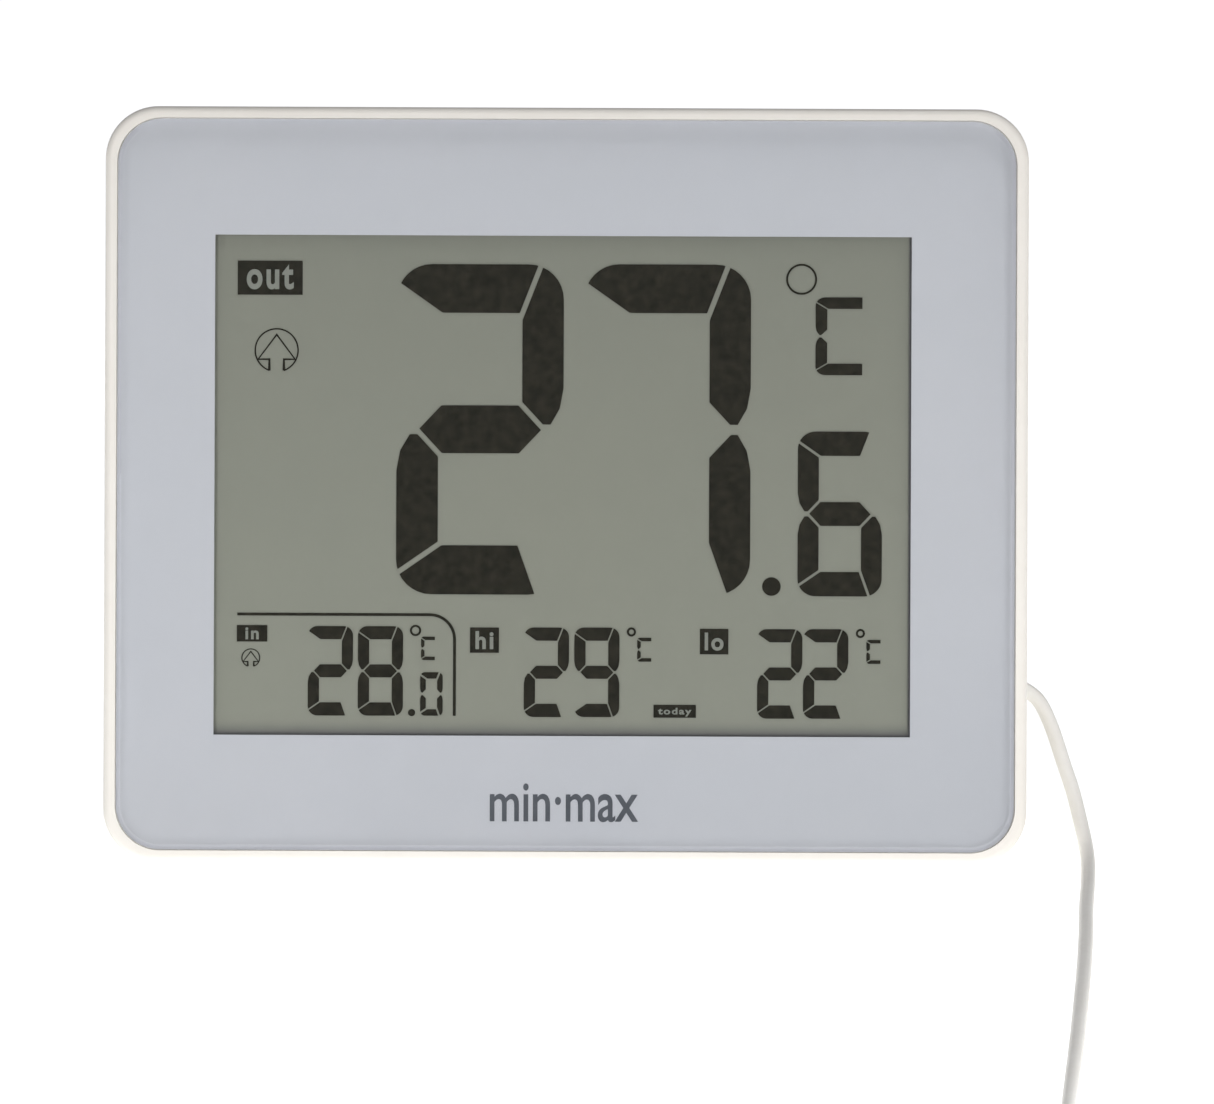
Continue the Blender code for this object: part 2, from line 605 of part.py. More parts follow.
def make_battery_door(case):
    """The door, whose own origin is on the line that it swings about, along its bottom outer edge."""
    low_z = BAY_Z0 - BAY_LEDGE + GAP
    hinge = empty("battery_door_hinge", case, (0, BACK_Y, low_z))
    half = BAY_W / 2 + BAY_LEDGE - GAP
    height = BAY_Z1 - BAY_Z0 + 2 * (BAY_LEDGE - GAP)
    inner = DOOR_SEAT_Y + GAP - BACK_Y
    bm = bmesh.new()
    add_box(bm, (-half, inner, 0), (half, 0, height))
    door = mesh_object("battery_door", bm, hinge, "casing_white")
    tab = bmesh.new()
    add_box(tab, (-0.0060, inner, height - 0.001), (0.0060, -0.0003, height + 0.0016))
    join(door, "latch_tab", tab)
    grips = bmesh.new()
    for row in range(4):
        z = height - 0.0040 - 0.0016 * row
        add_box(grips, (-0.0060, -0.0004, z), (0.0060, 0.001, z + 0.0008))
    cut(door, "grip_grooves", grips)


# ---------------------------------------------------------------- batteries


def make_battery(case, name, z, sign):
    """One cell: its body and the small end that faces sign * X."""
    start = -sign * 0.0190
    profile = [
        (0, 0), (CELL_R - 0.0006, 0), (CELL_R, 0.0006), (CELL_R, CELL_BODY - 0.0006),
        (CELL_R - 0.0006, CELL_BODY), (NUB_R, CELL_BODY), (NUB_R, CELL_BODY + NUB_T), (0, CELL_BODY + NUB_T),
    ]
    place = Matrix.Translation((start, BATTERY_Y, z)) @ Matrix.Rotation(sign * math.pi / 2, 4, "Y")
    turned(name, profile[::-1], case, "battery_sleeve", place, 20)


def make_contact(case, name, z):
    """A contact plate at the bay's right end, with a tab that comes out through the bay's wall."""
    bm = bmesh.new()
    front, back = BATTERY_Y - 0.0042, BATTERY_Y + 0.0042
    add_box(bm, (CONTACT_X, front, z - 0.0045), (CONTACT_X + CONTACT_T, back, z + 0.0045))
    plate = mesh_object(name, bm, case, "plated_steel")
    tab = bmesh.new()
    front, back = BATTERY_Y - 0.0002, BATTERY_Y + 0.0002
    add_box(tab, (CONTACT_X + 0.0002, front, z - 0.0015), (0.0305, back, z + 0.0015))
    join(plate, "tab", tab)


def make_spring(case, name, z, sign):
    """A cone spring that stands on the plate at sign * X and presses on the cell's flat end."""
    turns, length, wire = 4, 0.0058, 0.00025
    steps = 14
    points = []
    for step in range(turns * steps + 1):
        share = step / (turns * steps)
        angle, radius = math.tau * step / steps, 0.0034 - 0.0009 * share
        x = sign * (CONTACT_X - GAP - wire - (length - 2 * wire) * share)
        points.append(Vector((x, BATTERY_Y + radius * math.cos(angle), z + radius * math.sin(angle))))
    tube(name, points, wire, case, "plated_steel", 1)


def make_power(case):
    make_battery(case, "battery_upper", UPPER_Z, 1)
    make_battery(case, "battery_lower", LOWER_Z, -1)
    make_contact(case, "contact_positive", UPPER_Z)
    make_contact(case, "contact_negative", LOWER_Z)
    bm = bmesh.new()
    low, high = LOWER_Z - 0.0045, UPPER_Z + 0.0045
    add_box(bm, (-CONTACT_X - CONTACT_T, BATTERY_Y - 0.0042, low), (-CONTACT_X, BATTERY_Y + 0.0042, high))
    mesh_object("contact_link", bm, case, "plated_steel")
    make_spring(case, "spring_negative", LOWER_Z, 1)
    make_spring(case, "spring_link", UPPER_Z, -1)

    board = BOARD_Y1 + 0.0010
    red = [
        (0.0312, BATTERY_Y, UPPER_Z), (0.0335, BATTERY_Y, UPPER_Z - 0.0012), (0.0352, 0.0150, 0.0600),
        (0.0355, 0.0150, 0.0500), (0.0352, 0.0145, 0.0440), (0.0345, board + 0.0004, 0.0400),
        (0.0338, board, 0.0365),
    ]
    black = [
        (0.0312, BATTERY_Y, LOWER_Z), (0.0325, BATTERY_Y, LOWER_Z - 0.0010), (0.0330, 0.0150, 0.0490),
        (0.0325, 0.0147, 0.0440), (0.0315, board + 0.0003, 0.0400), (0.0308, board, 0.0365),
    ]
    tube("battery_wire_red", smooth_route(red, 0.002), 0.0005, case, "wire_red", 1)
    tube("battery_wire_black", smooth_route(black, 0.002), 0.0005, case, "wire_black", 1)


# ---------------------------------------------------------------- stand


def leg_angle():
    """How far the leg opens from the case, so that its sole lies on the desk."""
    desk = SHELL_BACK_Y * math.sin(LEAN) - DESK_FACET
    height = HINGE_Z * math.cos(LEAN) - HINGE_Y * math.sin(LEAN) + desk
    return LEAN + math.acos(height / LEG_LENGTH)


def make_stand_leg(case):
    """The leg, whose own origin is on its hinge axis, opened onto the desk."""
    opened = leg_angle()
    hinge = empty("stand_leg_hinge", case, (0, HINGE_Y, HINGE_Z), opened)
    slope = math.tan(opened - LEAN)
    half_t = LEG_T / 2
    bm = bmesh.new()
    outline = [
        (-LEG_FOOT_W / 2, -LEG_LENGTH - 0.002), (LEG_FOOT_W / 2, -LEG_LENGTH - 0.002), (LEG_W / 2, 0),
        (-LEG_W / 2, 0),
    ]
    add_prism(bm, outline, -half_t, half_t)
    leg = mesh_object("stand_leg", bm, hinge, "casing_white")
    barrel = bmesh.new()
    add_drum(barrel, half_t, (-LEG_W / 2, 0, 0), (LEG_W / 2, 0, 0), 16)
    join(leg, "barrel", barrel)
    pins = bmesh.new()
    reach = RECESS_W / 2 + PIN_REACH - GAP
    add_drum(pins, PIN_R, (-reach, 0, 0), (reach, 0, 0), 12)
    join(leg, "pins", pins)
    panel = bmesh.new()
    add_slab(panel, LEG_PANEL_W, LEG_PANEL_H, half_t - LEG_PANEL_DEPTH, 0.003, 0, -0.0200, 0.0030)
    cut(leg, "panel", panel)
    sole = bmesh.new()
    front, back = -LEG_LENGTH + 0.004 * slope, -LEG_LENGTH - 0.004 * slope
    corners = [(-0.004, front), (0.004, back), (0.004, -LEG_LENGTH - 0.008), (-0.004, -LEG_LENGTH - 0.008)]
    face = sole.faces.new([sole.verts.new((-0.02, y, z)) for y, z in corners])
    grown = bmesh.ops.extrude_face_region(sole, geom=[face])["geom"]
    moved = [item for item in grown if isinstance(item, bmesh.types.BMVert)]
    bmesh.ops.translate(sole, vec=(0.04, 0, 0), verts=moved)
    cut(leg, "sole", sole)


# ---------------------------------------------------------------- lead and probe


def make_grommet(case):
    profile = [
        (0, 0), (0.0032, 0), (0.0032, 0.0010), (0.0023, 0.0010), (0.0023, 0.0032), (0.0030, 0.0032),
        (0.0030, 0.0040), (0.0025, 0.0044), (0.0018, 0.0058), (0, 0.0058),
    ]
    place = x_axis_place(0.0471, LEAD_Y, LEAD_Z)
    turned("cable_grommet", profile[::-1], case, "lead_white", place, 16)
    inner = [
        (0.0468, LEAD_Y, LEAD_Z), (0.0445, LEAD_Y, LEAD_Z + 0.0006), (0.0420, 0.0158, 0.0238),
        (0.0395, 0.0152, 0.0270), (0.0360, 0.0145, 0.0290), (0.0325, 0.0136, 0.0296),
        (0.0295, 0.0134, 0.0296),
    ]
    tube("probe_lead_inner", smooth_route(inner, 0.003), LEAD_R, case, "lead_white")


def make_coil():
    """The closed outer shape of the spare lead's coil, and the tie that holds it."""
    steps = 5
    outline = rounded_outline(COIL_W, COIL_Z1 - COIL_Z0, COIL_R, (COIL_Z0 + COIL_Z1) / 2, 0.0038, steps)
    place = Matrix.Translation((COIL_X, COIL_Y, 0))
    turned("probe_lead_coil", [*outline, outline[0]], None, "lead_white", place, 32)

    bm = bmesh.new()
    outer_w, low, high = COIL_W + 2 * (GAP + TIE_T), 0.0, COIL_Z1 + GAP + TIE_T
    mid_x, mid_z = COIL_X + COIL_R, (low + high) / 2
    y0, y1 = COIL_Y - TIE_W / 2, COIL_Y + TIE_W / 2
    add_slab(bm, outer_w, high - low, y0, y1, mid_x, mid_z, 0.0025, 3)
    tie = mesh_object("coil_tie", bm, None, "tie_grey")
    hole = bmesh.new()
    inner_w, inner_h = outer_w - 2 * TIE_T, high - low - 2 * TIE_T
    add_slab(hole, inner_w, inner_h, y0 - 0.001, y1 + 0.001, mid_x, mid_z, 0.0020, 3)
    cut(tie, "opening", hole)


def make_lead():
    tube("probe_lead", smooth_route(LEAD_ROUTE, 0.0042), LEAD_R, None, "lead_white")
    make_coil()
    tube("probe_lead_tail", smooth_route(TAIL_ROUTE, 0.0035), LEAD_R, None, "lead_white")
    profile = [
        (0, 0), (0.0016, 0), (0.0022, 0.0030), (CAPSULE_R, 0.0040), (CAPSULE_R, CAPSULE_L - 0.0028),
        (CAPSULE_R - 0.0007, CAPSULE_L - 0.0010), (CAPSULE_R - 0.0018, CAPSULE_L - 0.0002), (0, CAPSULE_L),
    ]
    x, y, z = TAIL_ROUTE[-1]
    place = Matrix.Translation((x - GAP, y, z)) @ Matrix.Rotation(-math.pi / 2, 4, "Y")
    turned("probe_capsule", profile[::-1], None, "casing_white", place, 20)


# ---------------------------------------------------------------- whole


def main():
    clear_scene()
    desk = SHELL_BACK_Y * math.sin(LEAN) - DESK_FACET
    case = empty("case_frame", None, (0, CASE_SHIFT_Y, desk), -LEAN)
    make_front_lens(case)
    make_front_sheets(case)
    make_front_shell(case)
    make_display(case)
    make_display_holder(case)
    make_board(case)
    make_board_parts(case)
    make_screws(case)
    for name, z in BUTTON_ROWS.items():
        make_button(case, name, z)
    make_rear_cover(case)
    make_battery_door(case)
    make_power(case)
    make_stand_leg(case)
    make_grommet(case)
    make_lead()


main()
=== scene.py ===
"""The looks of an indoor and outdoor thermometer with a wired probe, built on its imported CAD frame.

All sizes are metres. The case is drawn upright in its own frame: x to the right, y from the front glass
into the case, z up from the casing's bottom edge. CASE leans it back onto its leg. The lead is drawn where
it lies.
"""

import logging
import math
from collections.abc import Sequence
from dataclasses import dataclass, field
from enum import Enum

import bmesh
import bpy
from mathutils import Euler, Matrix, Vector


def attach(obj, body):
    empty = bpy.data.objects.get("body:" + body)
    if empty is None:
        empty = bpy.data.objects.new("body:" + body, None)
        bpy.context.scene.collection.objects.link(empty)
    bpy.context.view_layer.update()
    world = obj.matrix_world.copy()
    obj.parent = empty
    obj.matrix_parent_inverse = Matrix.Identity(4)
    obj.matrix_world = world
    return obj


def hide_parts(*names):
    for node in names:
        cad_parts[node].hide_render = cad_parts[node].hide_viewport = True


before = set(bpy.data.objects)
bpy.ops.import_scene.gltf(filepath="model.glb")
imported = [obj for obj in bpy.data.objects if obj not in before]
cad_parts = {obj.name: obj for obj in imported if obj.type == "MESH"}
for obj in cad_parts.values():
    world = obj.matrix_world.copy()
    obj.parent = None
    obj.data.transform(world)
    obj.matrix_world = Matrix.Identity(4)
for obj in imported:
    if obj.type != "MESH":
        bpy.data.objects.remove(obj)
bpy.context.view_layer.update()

LOG = logging.getLogger("thermometer")

Colour = tuple[float, float, float]
Point = tuple[float, float, float]
Spot = tuple[float, float]
Socket = bpy.types.NodeSocket
Shape = bmesh.types.BMesh
Piece = bpy.types.Object

LEAN = math.radians(16.0)
DESK_FACET = 0.0005  # how much of the casing's bottom rear edge is cut away level with the desk
CASE_SHIFT_Y = -0.0245
SHELL_BACK_Y = 0.0090
CASE_LIFT = SHELL_BACK_Y * math.sin(LEAN) - DESK_FACET
CASE = Matrix.Translation((0.0, CASE_SHIFT_Y, CASE_LIFT)) @ Matrix.Rotation(-LEAN, 4, "X")
SHOWN = CASE @ Matrix.Translation((0.0002, 0.0, 0.0001))  # what the display shows
WORLD = Matrix.Identity(4)
TO_Y = Matrix.Rotation(-math.pi / 2, 4, "X")  # lays a turned piece's own Z along y
TO_X = Matrix.Rotation(math.pi / 2, 4, "Y")

MID_Z = 0.045  # half the casing's height
GAP = 0.0003  # between pieces that touch
SHARP = math.radians(35.0)
SAME = 1e-6  # points closer than this are one


# ---------------------------------------------------------------- finishes


class Wiring:
    """Adds nodes to one material or group, and joins them in short calls."""

    def __init__(self, tree: bpy.types.NodeTree) -> None:
        """Takes the tree that the nodes go into."""
        self.tree = tree

    def add(self, kind: str, values: dict | None = None, **settings: object) -> bpy.types.Node:
        """Adds a node.

        Args:
            kind: The node's type name.
            values: For each input, the socket that feeds it, or its constant.
            settings: The node's own properties.

        Returns:
            The new node.
        """
        node = self.tree.nodes.new(kind)
        for name, setting in settings.items():
            setattr(node, name, setting)
        for name, value in (values or {}).items():
            if isinstance(value, Socket):
                self.tree.links.new(value, node.inputs[name])
            else:
                node.inputs[name].default_value = value
        return node

    @staticmethod
    def hold(node: bpy.types.Node, **values: float | tuple[float, ...]) -> None:
        """Sets constants; an input's name has underscores for its spaces."""
        for name, value in values.items():
            node.inputs[name.replace("_", " ")].default_value = value

    def feed(self, socket: Socket, target: Socket) -> None:
        """Joins an output to an input."""
        self.tree.links.new(socket, target)

    def blend(self, share: Socket, low: Colour | Socket, high: Colour | Socket) -> Socket:
        """Mixes two colours.

        Args:
            share: How much of the second colour shows, from 0 to 1.
            low: The first colour.
            high: The second colour.

        Returns:
            The mixed colour.
        """
        values = {0: share}
        for place, colour in ((6, low), (7, high)):
            values[place] = colour if isinstance(colour, Socket) else (*colour, 1.0)
        return self.add("ShaderNodeMix", values, data_type="RGBA").outputs[2]

    def between(self, value: Socket, start: Spot, end: Spot) -> Socket:
        """Maps a value from the range start to the range end, held at its limits."""
        values = {"Value": value, "From Min": start[0], "From Max": start[1]}
        values |= {"To Min": end[0], "To Max": end[1]}
        return self.add("ShaderNodeMapRange", values).outputs[0]

    def maths(self, operation: str, first: Socket | float, second: Socket | float) -> Socket:
        """One sum of two values."""
        return self.add("ShaderNodeMath", {0: first, 1: second}, operation=operation).outputs[0]

    def object_place(self) -> Socket:
        """The point on the piece at rest, in the world's metres."""
        return self.add("ShaderNodeTexCoord").outputs["Object"]

    def case_place(self) -> Socket:
        """The point on the piece in the case's own frame."""
        back = CASE.inverted()
        values = {"Vector": self.object_place(), "Location": back.to_translation()}
        return self.add("ShaderNodeMapping", values | {"Rotation": Euler((LEAN, 0.0, 0.0))}).outputs[0]


class Effect(Enum):
    """Surface effects that finishes share, each a node group from a place and a scale to a value."""

    MOTTLE = "slow_mottle"
    GRAIN = "moulding_grain"
    SCRATCH = "fine_scratches"

    def tree(self) -> bpy.types.NodeTree:
        """Returns the effect's node group, built the first time it is asked for."""
        found = bpy.data.node_groups.get(self.value)
        if found:
            return found
        made = bpy.data.node_groups.new(self.value, "ShaderNodeTree")
        made.interface.new_socket("Place", in_out="INPUT", socket_type="NodeSocketVector")
        made.interface.new_socket("Scale", in_out="INPUT", socket_type="NodeSocketFloat")
        made.interface.new_socket("Value", in_out="OUTPUT", socket_type="NodeSocketFloat")
        wiring = Wiring(made)
        given = wiring.add("NodeGroupInput")
        result = self.pattern(wiring, given.outputs["Place"], given.outputs["Scale"])
        wiring.add("NodeGroupOutput", {"Value": result})
        return made

    def pattern(self, wiring: Wiring, place: Socket, scale: Socket) -> Socket:
        """Builds the effect's pattern.

        Args:
            wiring: The group being wired.
            place: The point on the surface.
            scale: Marks per metre.

        Returns:
            The pattern's value, about 0.5 on average.
        """
        if self is Effect.SCRATCH:
            long = wiring.add("ShaderNodeMapping", {"Vector": place, "Scale": (0.06, 1.0, 1.0)}).outputs[0]
            noise = {"Vector": long, "Scale": scale, "Detail": 6.0, "Roughness": 0.7}
            return wiring.add("ShaderNodeTexNoise", noise).outputs[0]
        if self is Effect.GRAIN:
            cells = {"Vector": place, "Scale": scale}
            pits = wiring.add("ShaderNodeTexVoronoi", cells, feature="SMOOTH_F1").outputs["Distance"]
            noise = {"Vector": place, "Scale": wiring.maths("MULTIPLY", scale, 0.4), "Detail": 4.0}
            swell = wiring.add("ShaderNodeTexNoise", noise).outputs[0]
            return wiring.maths("MULTIPLY_ADD", pits, swell)
        slow = wiring.add("ShaderNodeTexNoise", {"Vector": place, "Scale": scale, "Detail": 3.0}).outputs[0]
        quick = {"Vector": place, "Scale": wiring.maths("MULTIPLY", scale, 9.0), "Detail": 5.0}
        fine = wiring.add("ShaderNodeTexNoise", quick).outputs[0]
        both = wiring.maths("ADD", wiring.maths("MULTIPLY", slow, 0.6), wiring.maths("MULTIPLY", fine, 0.4))
        return wiring.between(both, (0.35, 0.65), (0.0, 1.0))


@dataclass(frozen=True)
class Finish:
    """A moulded, printed or plated surface, whose colour drifts a little and whose grain dulls it."""

    name: str
    colour: Colour
    drift: Colour  # what the mottling moves towards
    roughness: float = 0.42
    spread: float = 0.10  # how far the roughness varies
    metallic: float = 0.0
    patch: float = 45.0  # mottling, patches per metre
    grain: float = 1800.0  # grain, marks per metre
    relief: float = 0.12  # strength of the grain's bump
    coat: float = 0.0
    shine: float = 0.5  # the clear gloss over the colour

    def material(self) -> bpy.types.Material:
        """Returns the finish's material, made the first time it is asked for."""
        found = bpy.data.materials.get(self.name)
        if found:
            return found
        made = bpy.data.materials.new(self.name)
        made.use_nodes = True
        self.wire(Wiring(made.node_tree), made.node_tree.nodes["Principled BSDF"])
        return made

    def effect(self, wiring: Wiring, effect: Effect, scale: float) -> Socket:
        """Places one of the shared effects in the material, on the piece's own place."""
        group = wiring.add("ShaderNodeGroup", node_tree=effect.tree())
        wiring.feed(wiring.object_place(), group.inputs["Place"])
        group.inputs["Scale"].default_value = scale
        return group.outputs["Value"]

    def wire(self, wiring: Wiring, shader: bpy.types.Node) -> None:
        """Wires the material.

        Args:
            wiring: The material being wired.
            shader: Its Principled BSDF.
        """
        mottle = self.effect(wiring, Effect.MOTTLE, self.patch)
        wiring.feed(self.paint(wiring, mottle), shader.inputs["Base Color"])
        dull = (self.roughness - self.spread / 2, self.roughness + self.spread / 2)
        wiring.feed(wiring.between(mottle, (0.0, 1.0), dull), shader.inputs["Roughness"])
        wiring.hold(shader, Metallic=self.metallic, Coat_Weight=self.coat, Coat_Roughness=0.12)
        wiring.hold(shader, Specular_IOR_Level=self.shine)
        height = self.effect(wiring, self.texture(), self.grain)
        bump = {"Height": height, "Strength": self.relief, "Distance": 0.00002}
        wiring.feed(wiring.add("ShaderNodeBump", bump).outputs[0], shader.inputs["Normal"])

    def texture(self) -> Effect:
        """Which effect gives the relief."""
        return Effect.SCRATCH if self.metallic > 0.5 else Effect.GRAIN

    def paint(self, wiring: Wiring, mottle: Socket) -> Socket:
        """The colour over the surface.

        Args:
            wiring: The material being wired.
            mottle: The slow mottling, from 0 to 1.

        Returns:
            The colour's socket.
        """
        return wiring.blend(mottle, self.colour, self.drift)


@dataclass(frozen=True)
class DisplayFace(Finish):
    """The reflective display behind its film: grey-green, with painted light that makes it lighter low down,
    and a painted shadow of the border along its bottom and right edges.
    """

    top_z: float = 0.0746
    bottom_z: float = 0.0151
    right_x: float = 0.0413
    # painted shade at the top and painted light at the bottom, as light from below falls on the display
    top_painted_shade: float = 0.97
    bottom_painted_light: float = 1.18
    painted_shadow_band: float = 0.0022  # the painted shadow band along the bottom, where the border's lower edge shades the display
    # a thin painted shadow along the right edge, and the colour of the painted shadow
    right_painted_shadow: float = 0.0003
    painted_shadow_colour: Colour = (0.125, 0.122, 0.130)

    def paint(self, wiring: Wiring, mottle: Socket) -> Socket:
        """The colour over the display, with its painted light and painted shadow.

        Args:
            wiring: The material being wired.
            mottle: The slow mottling, from 0 to 1.

        Returns:
            The colour's socket.
        """
        place = wiring.add("ShaderNodeSeparateXYZ", {0: wiring.case_place()})
        x, z = place.outputs[0], place.outputs[2]
        base = wiring.blend(mottle, self.colour, self.drift)
        # painted light: lighter towards the bottom, darker towards the top
        rise = wiring.between(z, (self.bottom_z, self.top_z), (1.0, 0.0))
        shaded_colour = tuple(part * self.top_painted_shade for part in self.colour)
        lit_colour = tuple(part * self.bottom_painted_light for part in self.colour)
        light_graded = wiring.blend(rise, shaded_colour, lit_colour)
        even = wiring.add("ShaderNodeMix", {0: 0.75, 6: base, 7: light_graded}, data_type="RGBA").outputs[2]
        # painted shadow: a dark band along the bottom and a thin line along the right edge
        low = wiring.between(z, (self.bottom_z, self.bottom_z + self.painted_shadow_band), (1.0, 0.0))
        start, end = self.right_x - self.right_painted_shadow * 2, self.right_x - self.right_painted_shadow
        right_shadow = wiring.between(x, (start, end), (0.0, 1.0))
        shadow_share = wiring.maths("MAXIMUM", wiring.maths("MULTIPLY", low, low), right_shadow)
        return wiring.blend(shadow_share, even, self.painted_shadow_colour)


@dataclass(frozen=True)
class TrackedBoard(Finish):
    """A circuit board's lacquer, with the copper tracks showing lighter through it."""

    track: Colour = (0.07, 0.30, 0.13)

    def paint(self, wiring: Wiring, mottle: Socket) -> Socket:
        """The colour over the board.

        Args:
            wiring: The material being wired.
            mottle: The slow mottling, from 0 to 1.

        Returns:
            The colour's socket.
        """
        base = wiring.blend(mottle, self.colour, self.drift)
        values = {"Vector": wiring.case_place(), "Scale": (1.0, 0.0, 1.0)}
        flat = wiring.add("ShaderNodeMapping", values).outputs[0]
        cells = {"Vector": flat, "Scale": 260.0, "Randomness": 0.35}
        voronoi = wiring.add("ShaderNodeTexVoronoi", cells, distance="MANHATTAN", feature="F2")
        lanes = wiring.between(voronoi.outputs["Distance"], (0.62, 0.66), (0.0, 1.0))
        return wiring.blend(lanes, base, self.track)


@dataclass(frozen=True)
class CellSleeve(Finish):
    """A dry cell's sleeve: a dark body with a copper coloured band at one end and a pale line round it."""

    band: Colour = (0.55, 0.30, 0.13)
    line: Colour = (0.62, 0.62, 0.60)
    start: float = 0.0
    sign: float = 1.0
    length: float = 0.0435

    def paint(self, wiring: Wiring, mottle: Socket) -> Socket:
        """The colour along the cell.

        Args:
            wiring: The material being wired.
            mottle: The slow mottling, from 0 to 1.

        Returns:
            The colour's socket.
        """
        base = wiring.blend(mottle, self.colour, self.drift)
        x = wiring.add("ShaderNodeSeparateXYZ", {0: wiring.object_place()}).outputs[0]
        along = wiring.maths("DIVIDE", wiring.maths("SUBTRACT", x, self.start), self.sign * self.length)
        copper = wiring.between(along, (0.695, 0.705), (0.0, 1.0))
        stripe = wiring.maths("COMPARE", along, 0.66)
        stripe.node.inputs[2].default_value = 0.006
        metal = wiring.maths("GREATER_THAN", along, 0.985)
        body = wiring.blend(stripe, wiring.blend(copper, base, self.band), self.line)
        return wiring.blend(metal, body, self.line)


@dataclass(frozen=True)
class ClearPlate(Finish):
    """Clear acrylic whose chamfer is tinted greyer as painted shade: it lets the lamps through to what lies
    behind it.
    """

    ior: float = 1.49
    chamfer: Spot = (0.00006, 0.00060)  # the chamfer's start and end, in depth from the front
    # the chamfer's colour: a painted shade for the darker band that the light through the chamfer shows
    chamfer_shade: Colour = (0.86, 0.86, 0.905)

    def paint(self, wiring: Wiring, mottle: Socket) -> Socket:
        """The tint over the plate, with the chamfer's band painted darker as shade.

        Args:
            wiring: The material being wired.
            mottle: The slow mottling, from 0 to 1.

        Returns:
            The colour's socket.
        """
        base = wiring.blend(mottle, self.colour, self.drift)
        depth = wiring.add("ShaderNodeSeparateXYZ", {0: wiring.case_place()}).outputs[1]
        start, end = self.chamfer
        # the chamfer's band gets the painted shade colour
        entered = wiring.maths("GREATER_THAN", depth, start)
        within = wiring.maths("MULTIPLY", entered, wiring.maths("LESS_THAN", depth, end))
        return wiring.blend(within, base, self.chamfer_shade)

    def wire(self, wiring: Wiring, shader: bpy.types.Node) -> None:
        """Wires the material.

        Args:
            wiring: The material being wired.
            shader: Its Principled BSDF.
        """
        mottle = self.effect(wiring, Effect.MOTTLE, self.patch)
        wiring.feed(self.paint(wiring, mottle), shader.inputs["Base Color"])
        wiring.hold(shader, Roughness=self.roughness, Transmission_Weight=1.0, IOR=self.ior)
        path = wiring.add("ShaderNodeLightPath")
        clear = wiring.add("ShaderNodeBsdfTransparent", {"Color": (*self.colour, 1.0)})
        mix = wiring.add("ShaderNodeMixShader", {0: path.outputs["Is Shadow Ray"]})
        wiring.feed(shader.outputs[0], mix.inputs[1])
        wiring.feed(clear.outputs[0], mix.inputs[2])
        output = next(n for n in wiring.tree.nodes if n.type == "OUTPUT_MATERIAL")
        wiring.feed(mix.outputs[0], output.inputs["Surface"])


CASING = Finish("satin_casing", (0.83, 0.80, 0.745), (0.80, 0.765, 0.705), 0.38, relief=0.05)
REAR = Finish("sparked_casing", (0.82, 0.79, 0.735), (0.78, 0.75, 0.69), 0.52, grain=2600.0, relief=0.35)
KEY = Finish("polished_key", (0.80, 0.78, 0.73), (0.76, 0.735, 0.68), 0.30, relief=0.04)
CLEAR = ClearPlate("clear_plate", (0.985, 0.99, 0.99), (0.97, 0.98, 0.985), 0.0, patch=30.0)
BORDER = Finish("border_print", (0.575, 0.584, 0.621), (0.56, 0.57, 0.605), 0.5, grain=3000.0, relief=0.0)
MARK = Finish("mark_print", (0.072, 0.080, 0.096), (0.10, 0.108, 0.125), 0.5, patch=700.0, relief=0.05)
DISPLAY = DisplayFace(
    "display_face", (0.256, 0.262, 0.218), (0.238, 0.244, 0.204), 0.6, patch=260.0, relief=0.03, shine=0.1,
)
INK = Finish(
    "segment_ink", (0.006, 0.0055, 0.001), (0.026, 0.0235, 0.014), 0.6, patch=900.0, relief=0.0, shine=0.1,
)
PAPER = Finish(
    "label_gap", (0.26, 0.27, 0.235), (0.235, 0.247, 0.215), 0.6, patch=400.0, relief=0.0, shine=0.1,
)
GLASS = Finish("cell_glass", (0.26, 0.29, 0.27), (0.22, 0.25, 0.24), 0.12, relief=0.01, coat=0.6)
REFLECTOR = Finish("reflector_film", (0.55, 0.56, 0.54), (0.48, 0.49, 0.47), 0.34, grain=900.0, relief=0.2)
TRAY = Finish("natural_tray", (0.72, 0.71, 0.66), (0.66, 0.65, 0.60), 0.5, relief=0.1)
TAPE = Finish(
    "foam_tape", (0.72, 0.71, 0.68), (0.62, 0.61, 0.58), 0.8, spread=0.2, grain=3500.0, relief=0.8,
)
RUBBER = Finish(
    "striped_rubber", (0.030, 0.030, 0.034), (0.060, 0.058, 0.060), 0.7, patch=1500.0, relief=0.3,
)
BOARD = TrackedBoard(
    "board_lacquer", (0.018, 0.150, 0.055), (0.014, 0.115, 0.045), 0.3, relief=0.05, coat=0.4,
)
EPOXY = Finish("epoxy_drop", (0.012, 0.012, 0.013), (0.030, 0.030, 0.032), 0.22, patch=200.0, grain=500.0)
SWITCH = Finish("switch_body", (0.022, 0.022, 0.024), (0.045, 0.045, 0.048), 0.45, relief=0.2)
STEEL = Finish("plated_steel_look", (0.66, 0.65, 0.62), (0.52, 0.51, 0.48), 0.30, metallic=1.0, grain=900.0)
LEAD = Finish(
    "lead_skin", (0.93, 0.915, 0.87), (0.89, 0.87, 0.82), 0.48, patch=140.0, grain=3500.0, relief=0.10,
)
RED = Finish("red_wire", (0.45, 0.030, 0.022), (0.35, 0.024, 0.020), 0.4, patch=300.0)
BLACK = Finish("black_wire", (0.020, 0.020, 0.022), (0.040, 0.040, 0.043), 0.4, patch=300.0)
TIE = Finish("tie_skin", (0.16, 0.16, 0.17), (0.11, 0.11, 0.12), 0.6, patch=500.0, grain=3000.0, relief=0.3)
PROBE = Finish("probe_casing", (0.76, 0.74, 0.69), (0.70, 0.68, 0.63), 0.34, patch=120.0, relief=0.06)


# ---------------------------------------------------------------- shapes


